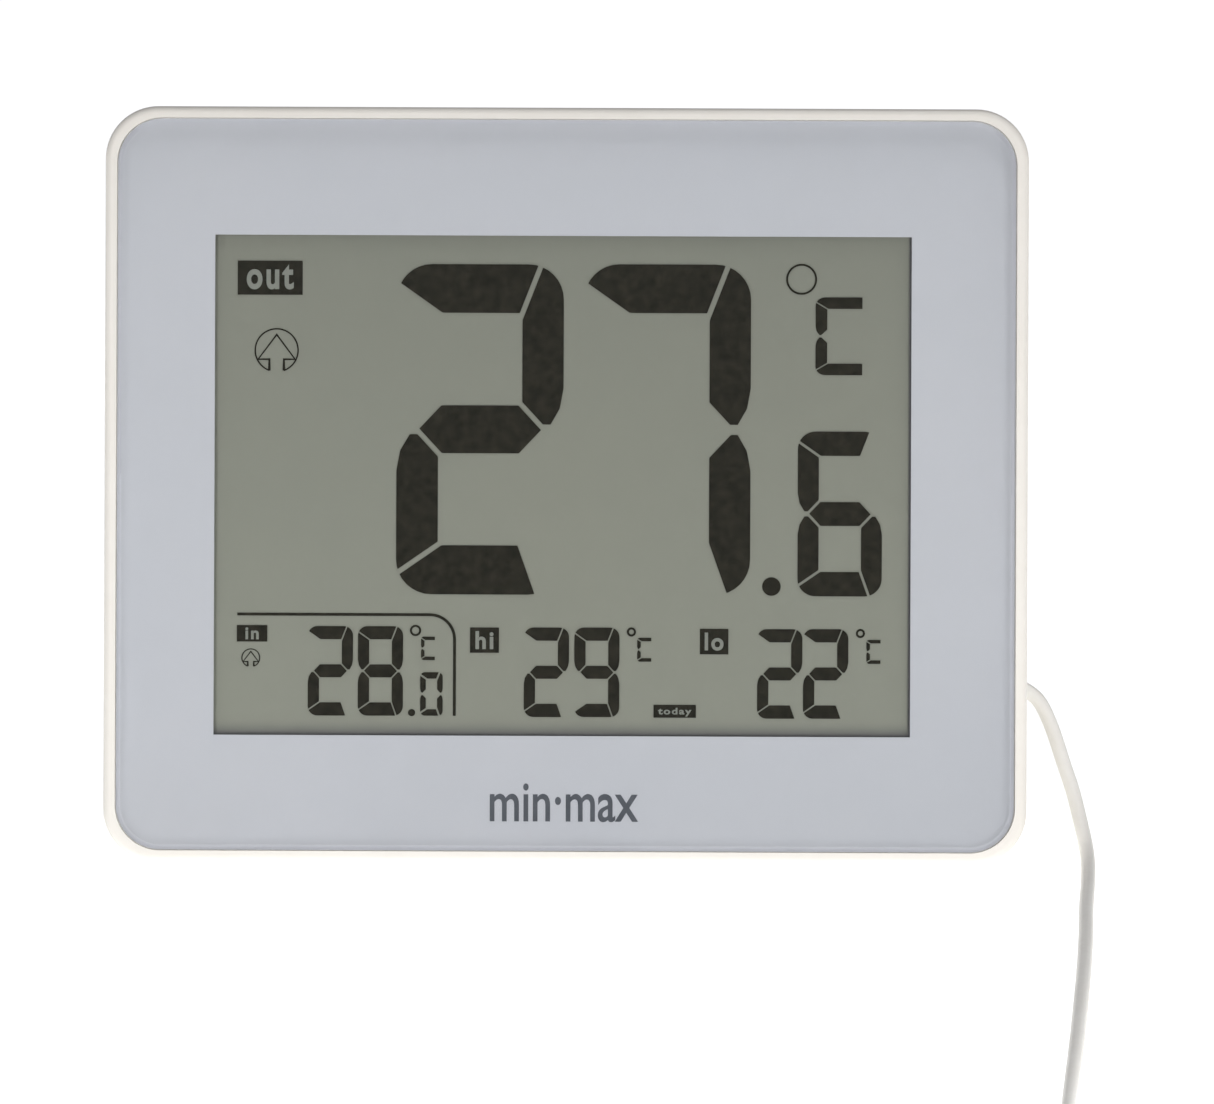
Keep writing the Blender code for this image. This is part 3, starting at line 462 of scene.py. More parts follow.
def plate(width: float, height: float, span: Spot, centre: Spot = (0.0, MID_Z), radius: float = 0.0,
          steps: int = 10) -> Shape:
    """A flat block that faces the front.

    Args:
        width: Its size along x.
        height: Its size along z.
        span: Its front and back y.
        centre: The x and z of its middle.
        radius: How far its four corners are rounded.
        steps: Facets in each rounded corner.

    Returns:
        The closed shape.
    """
    return thicken(card(width, height, (centre[0], span[0], centre[1]), radius, steps), span[1] - span[0])


def card(width: float, height: float, centre: Point, radius: float, steps: int) -> Shape:
    """A flat face towards the front, with rounded corners unless the radius is 0.

    Args:
        width: Its size along x.
        height: Its size along z.
        centre: Its middle.
        radius: How far its four corners are rounded.
        steps: Facets in each rounded corner.

    Returns:
        The open shape.
    """
    bm = bmesh.new()
    bmesh.ops.create_grid(bm, x_segments=1, y_segments=1, size=0.5)
    bmesh.ops.scale(bm, vec=(width, height, 1.0), verts=bm.verts)
    if radius:
        bmesh.ops.bevel(
            bm, geom=bm.verts[:], offset=radius, offset_type="OFFSET", segments=steps, profile=0.5,
            affect="VERTICES", material=-1,
        )
    return upright(bm, centre)


def upright(bm: Shape, centre: Point) -> Shape:
    """Turns a flat shape to face the front, and moves it."""
    bmesh.ops.rotate(bm, cent=(0, 0, 0), matrix=Matrix.Rotation(math.pi / 2, 3, "X"), verts=bm.verts)
    bmesh.ops.translate(bm, vec=centre, verts=bm.verts)
    return bm


def thicken(bm: Shape, depth: float) -> Shape:
    """Pulls every flat face back along y, and closes the shape."""
    grown = bmesh.ops.extrude_face_region(bm, geom=bm.faces[:])["geom"]
    moved = [item for item in grown if isinstance(item, bmesh.types.BMVert)]
    bmesh.ops.translate(bm, vec=(0, depth, 0), verts=moved)
    bmesh.ops.recalc_face_normals(bm, faces=bm.faces)
    return bm


def block(low: Point, high: Point) -> Shape:
    """A box between two corners."""
    bm = bmesh.new()
    bmesh.ops.create_cube(bm, size=1.0)
    bmesh.ops.scale(bm, vec=[b - a for a, b in zip(low, high)], verts=bm.verts)
    bmesh.ops.translate(bm, vec=[(a + b) / 2 for a, b in zip(low, high)], verts=bm.verts)
    return bm


def drum(radius: float, start: Point, end: Point, sides: int = 40) -> Shape:
    """A cylinder between two points."""
    bm = bmesh.new()
    first, last = Vector(start), Vector(end)
    along = last - first
    place = Matrix.Translation((first + last) / 2) @ along.to_track_quat("Z", "Y").to_matrix().to_4x4()
    bmesh.ops.create_cone(
        bm, cap_ends=True, segments=sides, radius1=radius, radius2=radius, depth=along.length, matrix=place,
    )
    return bm


def bevel_rim(bm: Shape, depth: float, width: float, segments: int) -> Shape:
    """Bevels the edges that lie at one depth.

    Args:
        bm: A block made by plate.
        depth: The y of the edges.
        width: How far the bevel reaches.
        segments: Its facets; one gives a flat chamfer.

    Returns:
        The same shape.
    """
    rim = [e for e in bm.edges if all(abs(v.co.y - depth) < SAME for v in e.verts)]
    bmesh.ops.bevel(
        bm, geom=rim, offset=width, offset_type="OFFSET", segments=segments, profile=0.5, affect="EDGES",
        material=-1,
    )
    return bm


def under_desk(place: Matrix) -> Shape:
    """The room under the desk's surface, as a tool in a piece's own frame."""
    desk = block((-0.07, -0.05, -0.02), (0.07, 0.05, 0.0))
    bmesh.ops.transform(desk, matrix=place.inverted(), verts=desk.verts)
    return desk


def turned(profile: Sequence[Spot], place: Matrix, sides: int = 40) -> Shape:
    """A shape turned about its own Z, then placed.

    Args:
        profile: (radius, height) points from one end of the axis to the other, or round a closed section.
        place: The matrix that puts it where it belongs.
        sides: Facets round it.

    Returns:
        The closed shape.
    """
    bm = bmesh.new()
    points = [bm.verts.new((radius, 0.0, height)) for radius, height in profile]
    edges = [bm.edges.new(pair) for pair in zip(points, points[1:])]
    bmesh.ops.spin(
        bm, geom=points + edges, cent=(0, 0, 0), axis=(0, 0, 1), angle=math.tau, steps=sides, use_merge=True,
    )
    bmesh.ops.remove_doubles(bm, verts=bm.verts, dist=SAME)
    bmesh.ops.transform(bm, matrix=place, verts=bm.verts)
    bmesh.ops.recalc_face_normals(bm, faces=bm.faces)
    return bm


def ring(centre: Spot, radius: float, line: float, span: Spot) -> Shape:
    """A flat ring that faces the front, drawn with a line of the given width."""
    profile = [
        (radius - line / 2, 0.0), (radius + line / 2, 0.0), (radius + line / 2, span[1] - span[0]),
        (radius - line / 2, span[1] - span[0]), (radius - line / 2, 0.0),
    ]
    return turned(profile, Matrix.Translation((centre[0], span[0], centre[1])) @ TO_Y, 48)


def gathered(*parts: Shape) -> Shape:
    """One shape with all the parts in it."""
    whole = bmesh.new()
    for part in parts:
        mesh = bpy.data.meshes.new("part")
        part.to_mesh(mesh)
        part.free()
        whole.from_mesh(mesh)
        bpy.data.meshes.remove(mesh)
    return whole


def smooth_route(points: Sequence[Point], spacing: float) -> list[Vector]:
    """Points about the given spacing apart, on a smooth curve through the route's points."""
    route = [Vector(p) for p in points]
    route = [2 * route[0] - route[1], *route, 2 * route[-1] - route[-2]]
    fine = []
    for a, b, c, d in zip(route, route[1:], route[2:], route[3:]):
        parts = max(1, round((c - b).length / spacing))
        for step in range(parts):
            t = step / parts
            bend = (2 * a - 5 * b + 4 * c - d) * t**2 + (3 * b - a - 3 * c + d) * t**3
            fine.append(0.5 * (2 * b + (c - a) * t + bend))
    return [*fine, route[-2]]


def placed(name: str, data: bpy.types.ID) -> Piece:
    """A new object in the scene."""
    made = bpy.data.objects.new(name, data)
    bpy.context.scene.collection.objects.link(made)
    return made


def round_line(name: str, points: Sequence[Sequence[float]], radius: float, roundness: int = 3) -> Piece:
    """A round wire or lead along the points.

    Args:
        name: The piece's name.
        points: The points that its middle follows.
        radius: Half its thickness.
        roundness: Blender's bevel resolution.

    Returns:
        The curve object, in the scene.
    """
    curve = bpy.data.curves.new(name, "CURVE")
    curve.dimensions = "3D"
    curve.bevel_depth = radius
    curve.bevel_resolution = roundness
    curve.use_fill_caps = True
    spline = curve.splines.new("POLY")
    spline.points.add(len(points) - 1)
    for target, point in zip(spline.points, points):
        target.co = (*point, 1.0)
    return placed(name, curve)


def as_mesh(obj: Piece) -> bpy.types.Mesh:
    """The object's finished mesh; the object itself is removed."""
    bpy.context.view_layer.update()
    graph = bpy.context.evaluated_depsgraph_get()
    mesh = bpy.data.meshes.new_from_object(obj.evaluated_get(graph))
    bpy.data.objects.remove(obj)
    return mesh


def as_shape(obj: Piece) -> Shape:
    """The object's finished mesh as a bmesh; the object itself is removed."""
    mesh = as_mesh(obj)
    bm = bmesh.new()
    bm.from_mesh(mesh)
    bpy.data.meshes.remove(mesh)
    return bm


def stroke(points: Sequence[Spot], line: float, span: Spot) -> Shape:
    """A thin flat line through (x, z) points, drawn on the display."""
    middle = (span[0] + span[1]) / 2
    bm = as_shape(round_line("stroke", [(x, middle, z) for x, z in points], line / 2, 1))
    flat = Matrix.Translation((0, middle, 0)) @ Matrix.Diagonal((1.0, (span[1] - span[0]) / line, 1.0, 1.0))
    bmesh.ops.transform(bm, matrix=flat @ Matrix.Translation((0, -middle, 0)), verts=bm.verts)
    return bm


def lettering(text: str, centre: Spot, size: Spot, span: Spot, bold: float = 0.0,
              spacing: float = 1.0) -> Shape:
    """Plain letters that face the front.

    Args:
        text: The word.
        centre: The x and z of its middle.
        size: The width and height that it fills.
        span: Its front and back y.
        bold: How much the strokes are thickened, as a share of the letter size.
        spacing: How far apart the letters stand, against the plain setting.

    Returns:
        The closed letters.
    """
    curve = bpy.data.curves.new("lettering", "FONT")
    curve.body = text
    curve.offset, curve.space_character = bold, spacing
    curve.resolution_u = 6
    bm = as_shape(placed("lettering", curve))
    bmesh.ops.remove_doubles(bm, verts=bm.verts, dist=1e-5)
    xs, ys = [v.co.x for v in bm.verts], [v.co.y for v in bm.verts]
    middle = Vector(((min(xs) + max(xs)) / 2, (min(ys) + max(ys)) / 2, 0.0))
    bmesh.ops.translate(bm, vec=-middle, verts=bm.verts)
    fit = (size[0] / (max(xs) - min(xs)), size[1] / (max(ys) - min(ys)), 1.0)
    bmesh.ops.scale(bm, vec=fit, verts=bm.verts)
    return thicken(upright(bm, (centre[0], span[0], centre[1])), span[1] - span[0])


class Workpiece:
    """One piece on the bench: cut, joined with others and softened, then settled on its body."""

    def __init__(self, name: str, shape: Shape) -> None:
        """Starts the piece from its first shape."""
        self.name = name
        self.obj = self.on_bench(name, shape)
        self.helpers: list[Piece] = []

    @staticmethod
    def on_bench(name: str, shape: Shape) -> Piece:
        """Makes an object from a shape, with its faces pointing out."""
        bmesh.ops.recalc_face_normals(shape, faces=shape.faces)
        mesh = bpy.data.meshes.new(name)
        shape.to_mesh(mesh)
        shape.free()
        mesh.shade_smooth()
        return placed(name, mesh)

    def boolean(self, operation: str, tools: Sequence[Shape]) -> "Workpiece":
        """Adds one Boolean step for each tool."""
        for tool in tools:
            helper = self.on_bench("tool", tool)
            self.helpers.append(helper)
            step = self.obj.modifiers.new("step", "BOOLEAN")
            step.operation, step.solver, step.object = operation, "EXACT", helper
        return self

    def cut(self, *tools: Shape) -> "Workpiece":
        """Takes the tools' shapes away."""
        return self.boolean("DIFFERENCE", tools)

    def join(self, *tools: Shape) -> "Workpiece":
        """Adds the tools' shapes."""
        return self.boolean("UNION", tools)

    def soften(self, width: float, segments: int = 2) -> "Workpiece":
        """Rounds the sharp edges."""
        step = self.obj.modifiers.new("soften", "BEVEL")
        step.width, step.segments, step.limit_method, step.angle_limit = width, segments, "ANGLE", SHARP
        step.harden_normals = True
        return self

    def settle(self, finish: Finish, body: str, stands_for: Sequence[str] = (), slot: str | None = None,
               place: Matrix = CASE) -> Piece:
        """Finishes the piece.

        Args:
            finish: What it is covered with.
            body: The CAD body that it moves with.
            stands_for: The CAD nodes that it replaces.
            slot: The record's material slot; not used.
            place: The matrix from the piece's own frame to the world.

        Returns:
            The finished object, at the origin.
        """
        softened = any(step.type == "BEVEL" for step in self.obj.modifiers)
        mesh = as_mesh(self.obj)
        for helper in self.helpers:
            bpy.data.objects.remove(helper)
        mesh.transform(place)
        mesh.shade_smooth()
        if not softened:
            mesh.set_sharp_from_angle(angle=SHARP)
        return dress(placed(self.name, mesh), finish, body, stands_for)


def dress(piece: Piece, finish: Finish, body: str, stands_for: Sequence[str] = ()) -> Piece:
    """Covers a piece and puts it on its body.

    Args:
        piece: A mesh or curve object at the origin.
        finish: What it is covered with.
        body: The CAD body that it moves with.
        stands_for: The CAD nodes that it replaces.

    Returns:
        The same object.
    """
    piece.data.materials.clear()
    piece.data.materials.append(finish.material())
    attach(piece, body)
    if stands_for:
        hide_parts(*stands_for)
    LOG.info("%s rides on %s", piece.name, body)
    return piece


def cover_node(node: str, finish: Finish) -> None:
    """Gives a CAD node, whose mesh stays as it is, its finish."""
    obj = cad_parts[node]
    for material_slot in obj.material_slots:
        material_slot.material = finish.material()
    LOG.info("%s is covered with %s", node, finish.name)


# ---------------------------------------------------------------- studio


@dataclass
class Studio:
    """The camera, the lamps, and the pale floor that the thermometer stands on."""

    distance: float = 0.600
    aim: Spot = (0.0049, 0.0371)  # x and z of the case's face at the middle of the view
    roll: float = math.radians(0.23)
    sensor: float = 36.0
    view_width: float = 0.14432  # what the view spans at the case's face
    sky: Colour = (0.14, 0.14, 0.15)
    floor_glow: float = 0.80
    lamps: tuple[tuple[str, Point, float, float, bool], ...] = (  # name, place, size, watts, seen in gloss
        ("low_left", (-0.10, -0.17, 0.03), 0.05, 0.085, False),
        ("low_right", (0.10, -0.17, 0.03), 0.05, 0.085, False),
        ("left", (-0.60, -0.95, 0.31), 0.6, 1.05, True),
        ("right", (0.60, -0.95, 0.31), 0.6, 1.05, True),
        ("above", (0.30, -0.05, 0.90), 0.5, 2.2, True),
        ("behind", (0.2, 1.1, 0.4), 0.9, 0.15, True),
    )

    def make_camera(self) -> None:
        """Looks straight at the leaning face."""
        data = bpy.data.cameras.new("view")
        data.sensor_width = self.sensor
        data.lens = self.sensor * self.distance / self.view_width
        camera = placed("view", data)
        back = Matrix.Translation((self.aim[0], -self.distance, self.aim[1]))
        turn = Matrix.Rotation(math.pi / 2, 4, "X") @ Matrix.Rotation(self.roll, 4, "Z")
        camera.matrix_world = CASE @ back @ turn
        bpy.context.scene.camera = camera

    def add_lamp(self, name: str, place: Point, size: float, power: float, mirrored: bool) -> None:
        """Adds a square soft lamp that shines at the thermometer.

        Args:
            name: The lamp's name.
            place: Where it stands.
            size: The length of its sides.
            power: Its power in watts.
            mirrored: Whether glossy surfaces show it.
        """
        data = bpy.data.lights.new(name, "AREA")
        data.shape, data.size, data.energy = "SQUARE", size, power
        lamp = placed(name, data)
        lamp.location = place
        lamp.rotation_euler = (Vector((0.0, 0.0, 0.03)) - Vector(place)).to_track_quat("-Z", "Y").to_euler()
        lamp.visible_glossy = lamp.visible_transmission = mirrored
        lamp.visible_camera = False

    def make_floor(self) -> None:
        """Lays a large pale floor that glows a little, as a light table does."""
        bm = bmesh.new()
        bmesh.ops.create_grid(bm, x_segments=2, y_segments=2, size=4.0)
        bmesh.ops.translate(bm, vec=(0, 0, -0.0001), verts=bm.verts)
        mesh = bpy.data.meshes.new("floor")
        bm.to_mesh(mesh)
        bm.free()
        floor = placed("floor", mesh)
        material = Finish("floor_board", (0.86, 0.86, 0.86), (0.85, 0.85, 0.85), 0.7, relief=0.0).material()
        shader = material.node_tree.nodes["Principled BSDF"]
        Wiring.hold(shader, Emission_Color=(1.0, 1.0, 1.0, 1.0), Emission_Strength=self.floor_glow)
        mesh.materials.append(material)

    def build(self) -> None:
        """Builds the whole studio."""
        self.make_camera()
        self.make_floor()
        world = bpy.data.worlds.new("studio")
        world.use_nodes = True
        world.node_tree.nodes["Background"].inputs[0].default_value = (*self.sky, 1.0)
        bpy.context.scene.world = world
        bpy.context.scene.view_settings.view_transform = "Standard"
        for lamp in self.lamps:
            self.add_lamp(*lamp)
        LOG.info("studio ready")


# ---------------------------------------------------------------- lead and probe


@dataclass
class Lead:
    """The lead: its run over the desk, its spare length in a tied coil, and the probe at its end."""

    radius: float = 0.0009
    length: float = 3.0
    grommet_x: float = 0.0471
    exit_y: float = 0.0160
    exit_z: float = 0.0213
    route: tuple[Point, ...] = (
        (0.0533, -0.0032, 0.0180), (0.0550, -0.0034, 0.0178), (0.0574, -0.0039, 0.0163),
        (0.0587, -0.0048, 0.0142), (0.0596, -0.0059, 0.0120), (0.0606, -0.0076, 0.0091),
        (0.0616, -0.0097, 0.0063), (0.0623, -0.0125, 0.0036), (0.0627, -0.0162, 0.0017),
        (0.0626, -0.0206, 0.0010), (0.0621, -0.0265, 0.0009), (0.0610, -0.0363, 0.0009),
        (0.0600, -0.0467, 0.0009), (0.0589, -0.0566, 0.0009), (0.0577, -0.0665, 0.0009),
        (0.0566, -0.0753, 0.0009), (0.0556, -0.0830, 0.0009), (0.0540, -0.0950, 0.0009),
        (0.0525, -0.1060, 0.0009), (0.0513, -0.1170, 0.0009), (0.0507, -0.1270, 0.0009),
        (0.0505, -0.1362, 0.0009),
    )
    tail: tuple[Point, ...] = (
        (0.0411, -0.1563, 0.0111), (0.0395, -0.1576, 0.0113), (0.0377, -0.1586, 0.0119),
        (0.0357, -0.1592, 0.0127), (0.0337, -0.1594, 0.0132),
    )
    coil_centre: Spot = (0.0298, -0.1450)
    coil_outer: float = 0.0205
    layer_step: float = 0.0016
    layers: tuple[tuple[float, int, int], ...] = (  # first turn's inset, turns, direction
        (0.0, 5, 1), (0.0081, 5, -1), (0.0, 5, 1), (0.0081, 5, -1), (0.0018, 4, 1), (0.0081, 4, -1),
    )
    turn_points: int = 28
    crossing: float = 0.25  # share of each turn in which the lead moves over to the next one
    tie_width: float = 0.0040
    capsule_radius: float = 0.0030
    capsule_length: float = 0.0250

    def turns(self) -> list[Spot]:
        """The radius and height of each turn of the coil, from the first to the last."""
        spots = []
        for layer, (start, count, way) in enumerate(self.layers):
            for turn in range(count):
                inset = start + way * turn * 2 * self.radius
                spots.append((self.coil_outer - inset, self.radius + layer * self.layer_step))
        return spots

    def coil(self) -> list[Vector]:
        """The coil's points, clockwise from its right side to below the tail's start."""
        spots = self.turns()
        end = Vector(self.tail[0])
        away = end.xy - Vector(self.coil_centre)
        last_share = (-math.atan2(away.y, away.x) % math.tau) / math.tau
        points = []
        steps = round((len(spots) - 1 + last_share) * self.turn_points)
        for step in range(steps):
            turn, share = divmod(step / self.turn_points, 1.0)
            here = spots[int(turn)]
            if int(turn) + 1 < len(spots):
                there = spots[int(turn) + 1]
                moved = max(0.0, min(1.0, (share - (1.0 - self.crossing)) / self.crossing))
            else:
                there, moved = (away.length, end.z), share / last_share
            eased = moved * moved * (3.0 - 2.0 * moved)
            radius = here[0] + (there[0] - here[0]) * eased
            height = here[1] + (there[1] - here[1]) * eased
            angle = -math.tau * step / self.turn_points
            x, y = self.coil_centre
            points.append(Vector((x + radius * math.cos(angle), y + radius * math.sin(angle), height)))
        return points

    def make_tie(self) -> Piece:
        """The flat band that holds the coil together."""
        thick, top, width = 0.0005, 0.0106, 0.0120
        middle = (self.coil_centre[0] + 0.0160, top / 2)
        span = (self.coil_centre[1] - self.tie_width / 2, self.coil_centre[1] + self.tie_width / 2)
        tie = Workpiece("tie_band", plate(width, top, span, middle, 0.0025, 8))
        inside = (width - 2 * thick, top - 2 * thick)
        tie.cut(plate(*inside, (span[0] - 0.001, span[1] + 0.001), middle, 0.0020, 8))
        return tie.soften(0.00012).settle(TIE, "case", ["coil_tie"], "tie_grey", WORLD)

    def make_capsule(self) -> Piece:
        """The sealed plastic probe, with its sensing tip and two grip rings."""
        r, full = self.capsule_radius, self.capsule_length
        neck = r - 0.00025
        profile = [
            (0.0, 0.0), (0.0013, 0.0), (0.0016, 0.0003), (0.0021, 0.0030), (0.0027, 0.0034),
            (r - 0.0001, 0.0038), (r, 0.0044), (r, 0.0080), (neck, 0.0083), (neck, 0.0089), (r, 0.0092),
            (r, 0.0100), (neck, 0.0103), (neck, 0.0109), (r, 0.0112), (r, full - 0.0032),
            (r - 0.0003, full - 0.0018), (r - 0.0010, full - 0.0007), (r - 0.0020, full - 0.0001),
            (0.0, full),
        ]
        x, y, z = self.tail[-1]
        place = Matrix.Translation((x - GAP, y, z)) @ TO_X.inverted()
        capsule = Workpiece("probe", turned(profile, place, 48))
        return capsule.settle(PROBE, "case", ["probe_capsule"], "casing_white", WORLD)

    def make_grommet(self) -> Piece:
        """The tapered sleeve that the lead leaves the rear cover through."""
        profile = [
            (0.0, 0.0), (0.0031, 0.0), (0.0032, 0.0001), (0.0032, 0.0009), (0.0031, 0.0010),
            (0.0023, 0.0010), (0.0023, 0.0032), (0.0029, 0.0032), (0.0030, 0.0034), (0.0030, 0.0038),
            (0.0028, 0.0041), (0.0023, 0.0044), (0.0024, 0.0046), (0.0021, 0.0049), (0.0022, 0.0051),
            (0.0019, 0.0055), (0.0018, 0.0058), (0.0, 0.0058),
        ]
        place = Matrix.Translation((self.grommet_x, self.exit_y, self.exit_z)) @ TO_X
        grommet = Workpiece("grommet", turned(profile, place, 40))
        return grommet.settle(LEAD, "case", ["cable_grommet"], "lead_white")

    def build(self) -> None:
        """Lays the lead and everything on it."""
        grommet = self.make_grommet()
        tie, capsule = self.make_tie(), self.make_capsule()
        meeting = (self.coil_centre[0] + self.coil_outer, self.coil_centre[1] + 0.0040, self.radius)
        run = smooth_route([*self.route, meeting], 0.0008)
        points = [*run, *self.coil(), *smooth_route(self.tail, 0.0010)]
        lead = round_line("lead", points, self.radius)
        dress(lead, LEAD, "case", ["probe_lead", "probe_lead_coil", "probe_lead_tail"])


# ---------------------------------------------------------------- front


@dataclass
class FrontPanel:
    """The clear front plate, the border printed behind it, and the plain mark on the border."""

    width: float = 0.10690
    height: float = 0.08700
    radius: float = 0.0053
    thickness: float = 0.0020
    chamfer: float = 0.0006
    polish: float = 0.00009
    window: Spot = (-0.00042, 0.04495)
    window_size: Spot = (0.0830, 0.0596)
    print_span: Spot = (0.00204, 0.00216)
    print_inset: float = 0.00015
    mark: str = "min·max"
    mark_centre: Spot = (-0.0003, 0.0071)
    mark_size: Spot = (0.0177, 0.0046)

    def make_plate(self) -> Piece:
        """The clear plate, with a polished chamfer round its front."""
        blank = plate(self.width, self.height, (0.0, self.thickness), radius=self.radius, steps=24)
        panel = Workpiece("front_plate", bevel_rim(blank, 0.0, self.chamfer, 1)).soften(self.polish)
        return panel.settle(CLEAR, "case", ["front_lens"], "clear_acrylic")

    def make_border(self) -> Piece:
        """The print that hides everything but the display."""
        inset = self.print_inset
        size = (self.width - 2 * inset, self.height - 2 * inset)
        sheet = plate(*size, self.print_span, radius=self.radius - inset, steps=24)
        border = Workpiece("printed_border", sheet)
        border.cut(plate(*self.window_size, (0.001, 0.003), self.window))
        return border.settle(BORDER, "case", ["lens_mask"], "white_print")

    def make_mark(self) -> Piece:
        """The plain functional word under the display."""
        span = (self.print_span[0] - 0.00003, self.print_span[0] - 0.00001)
        letters = lettering(self.mark, self.mark_centre, self.mark_size, span, 0.01)
        return Workpiece("printed_mark", letters).settle(MARK, "case", (), "white_print", SHOWN)

    def build(self) -> None:
        """Builds the plate, the border and the mark."""
        self.make_plate()
        self.make_border()
        self.make_mark()


# ---------------------------------------------------------------- display


@dataclass(frozen=True)
class SegmentDigit:
    """A seven segment digit, drawn in units of its own height, from its bottom left corner."""

    width: float = 0.504
    corner: float = 0.106
    gap: float = 0.0155
    lines: dict[str, tuple[Spot, Spot]] = field(default_factory=lambda: {
        "a_f": ((0.0146, 0.9302), (0.1345, 0.8457)), "a_b": ((0.3747, 0.8406), (0.4324, 0.9894)),
        "f_g": ((0.0650, 0.5093), (0.1312, 0.5794)), "e_g": ((0.0650, 0.4941), (0.1312, 0.4224)),
        "b_g": ((0.4388, 0.5074), (0.3723, 0.5794)), "c_g": ((0.4388, 0.4898), (0.3717, 0.4185)),
        "d_e": ((0.0134, 0.0723), (0.1324, 0.1549)), "c_d": ((0.3705, 0.1600), (0.4251, 0.0064)),
        "roof": ((0.0, 0.8527), (1.0, 0.8527)), "base": ((0.0, 0.1485), (1.0, 0.1485)),
        "left": ((0.1254, 0.0), (0.1254, 1.0)), "right": ((0.3795, 0.0), (0.3795, 1.0)),
        "upper": ((0.0, 0.5724), (1.0, 0.5724)), "lower": ((0.0, 0.4276), (1.0, 0.4276)),
        "waist_up": ((0.0, 0.5076), (1.0, 0.5076)), "waist_down": ((0.0, 0.4924), (1.0, 0.4924)),
        "nip b": ((0.5040, 0.6247), (0.4930, 0.5640)), "tip b": ((0.4930, 0.5640), (0.4652, 0.5153)),
        "nip c": ((0.5040, 0.3753), (0.4930, 0.4360)), "tip c": ((0.4930, 0.4360), (0.4652, 0.4847)),
        "nip f": ((0.0, 0.6247), (0.0110, 0.5640)), "tip f": ((0.0110, 0.5640), (0.0400, 0.5153)),
        "nip e": ((0.0, 0.3753), (0.0110, 0.4360)), "tip e": ((0.0110, 0.4360), (0.0400, 0.4847)),
        "mouth": ((0.504, 0.0), (0.504, 1.0)),
    })
    segments: dict[str, tuple[Spot, tuple[str, ...]]] = field(default_factory=lambda: {
        "a": ((0.25, 0.93), ("roof", "a_f", "a_b")), "d": ((0.25, 0.07), ("base", "d_e", "c_d")),
        "b": ((0.45, 0.75), ("right", "a_b", "b_g", "waist_up", "nip b", "tip b")),
        "c": ((0.45, 0.30), ("right", "c_d", "c_g", "waist_down", "nip c", "tip c")),
        "e": ((0.06, 0.30), ("left", "d_e", "e_g", "waist_down", "nip e", "tip e")),
        "f": ((0.06, 0.75), ("left", "a_f", "f_g", "waist_up", "nip f", "tip f")),
        "g": ((0.25, 0.50), ("upper", "lower", "f_g", "e_g", "b_g", "c_g")),
        "A": ((0.25, 0.93), ("roof", "a_f", "mouth")), "D": ((0.25, 0.07), ("base", "d_e", "mouth")),
    })
    lit: dict[str, str] = field(default_factory=lambda: {
        "0": "abcdef", "2": "abged", "6": "afgedc", "7": "abc", "8": "abcdefg", "9": "abcdfg", "C": "AfeD",
    })

    def segment(self, name: str) -> Shape:
        """One flat segment: the digit's rounded outline, cut down along that segment's lines."""
        inside, cuts = self.segments[name]
        reach = 2 * self.width if name.isupper() else self.width
        bm = card(reach, 1.0, (reach / 2, 0.0, 0.5), self.corner, 8)
        keep = Vector((inside[0], 0.0, inside[1]))
        for line in cuts:
            (x0, z0), (x1, z1) = self.lines[line]
            away = Vector((z0 - z1, 0.0, x1 - x0)).normalized()
            start = Vector((x0, 0.0, z0))
            if (keep - start).dot(away) > 0:
                away.negate()
            if "_" in line:
                start -= away * self.gap / 2
            whole = [*bm.verts, *bm.edges, *bm.faces]
            bmesh.ops.bisect_plane(bm, geom=whole, plane_co=start, plane_no=away, clear_outer=True)
        return bm

    def figure(self, sign: str, corner: Spot, size: Spot, span: Spot) -> Shape:
        """A whole figure.

        Args:
            sign: The figure or letter to show.
            corner: The x and z of its bottom left corner.
            size: Its width and height.
            span: Its front and back y.

        Returns:
            Its lit segments.
        """
        bm = gathered(*(self.segment(name) for name in self.lit[sign]))
        bmesh.ops.scale(bm, vec=(size[0] / self.width, 1.0, size[1]), verts=bm.verts)
        bmesh.ops.translate(bm, vec=(corner[0], span[0], corner[1]), verts=bm.verts)
        return thicken(bm, span[1] - span[0])


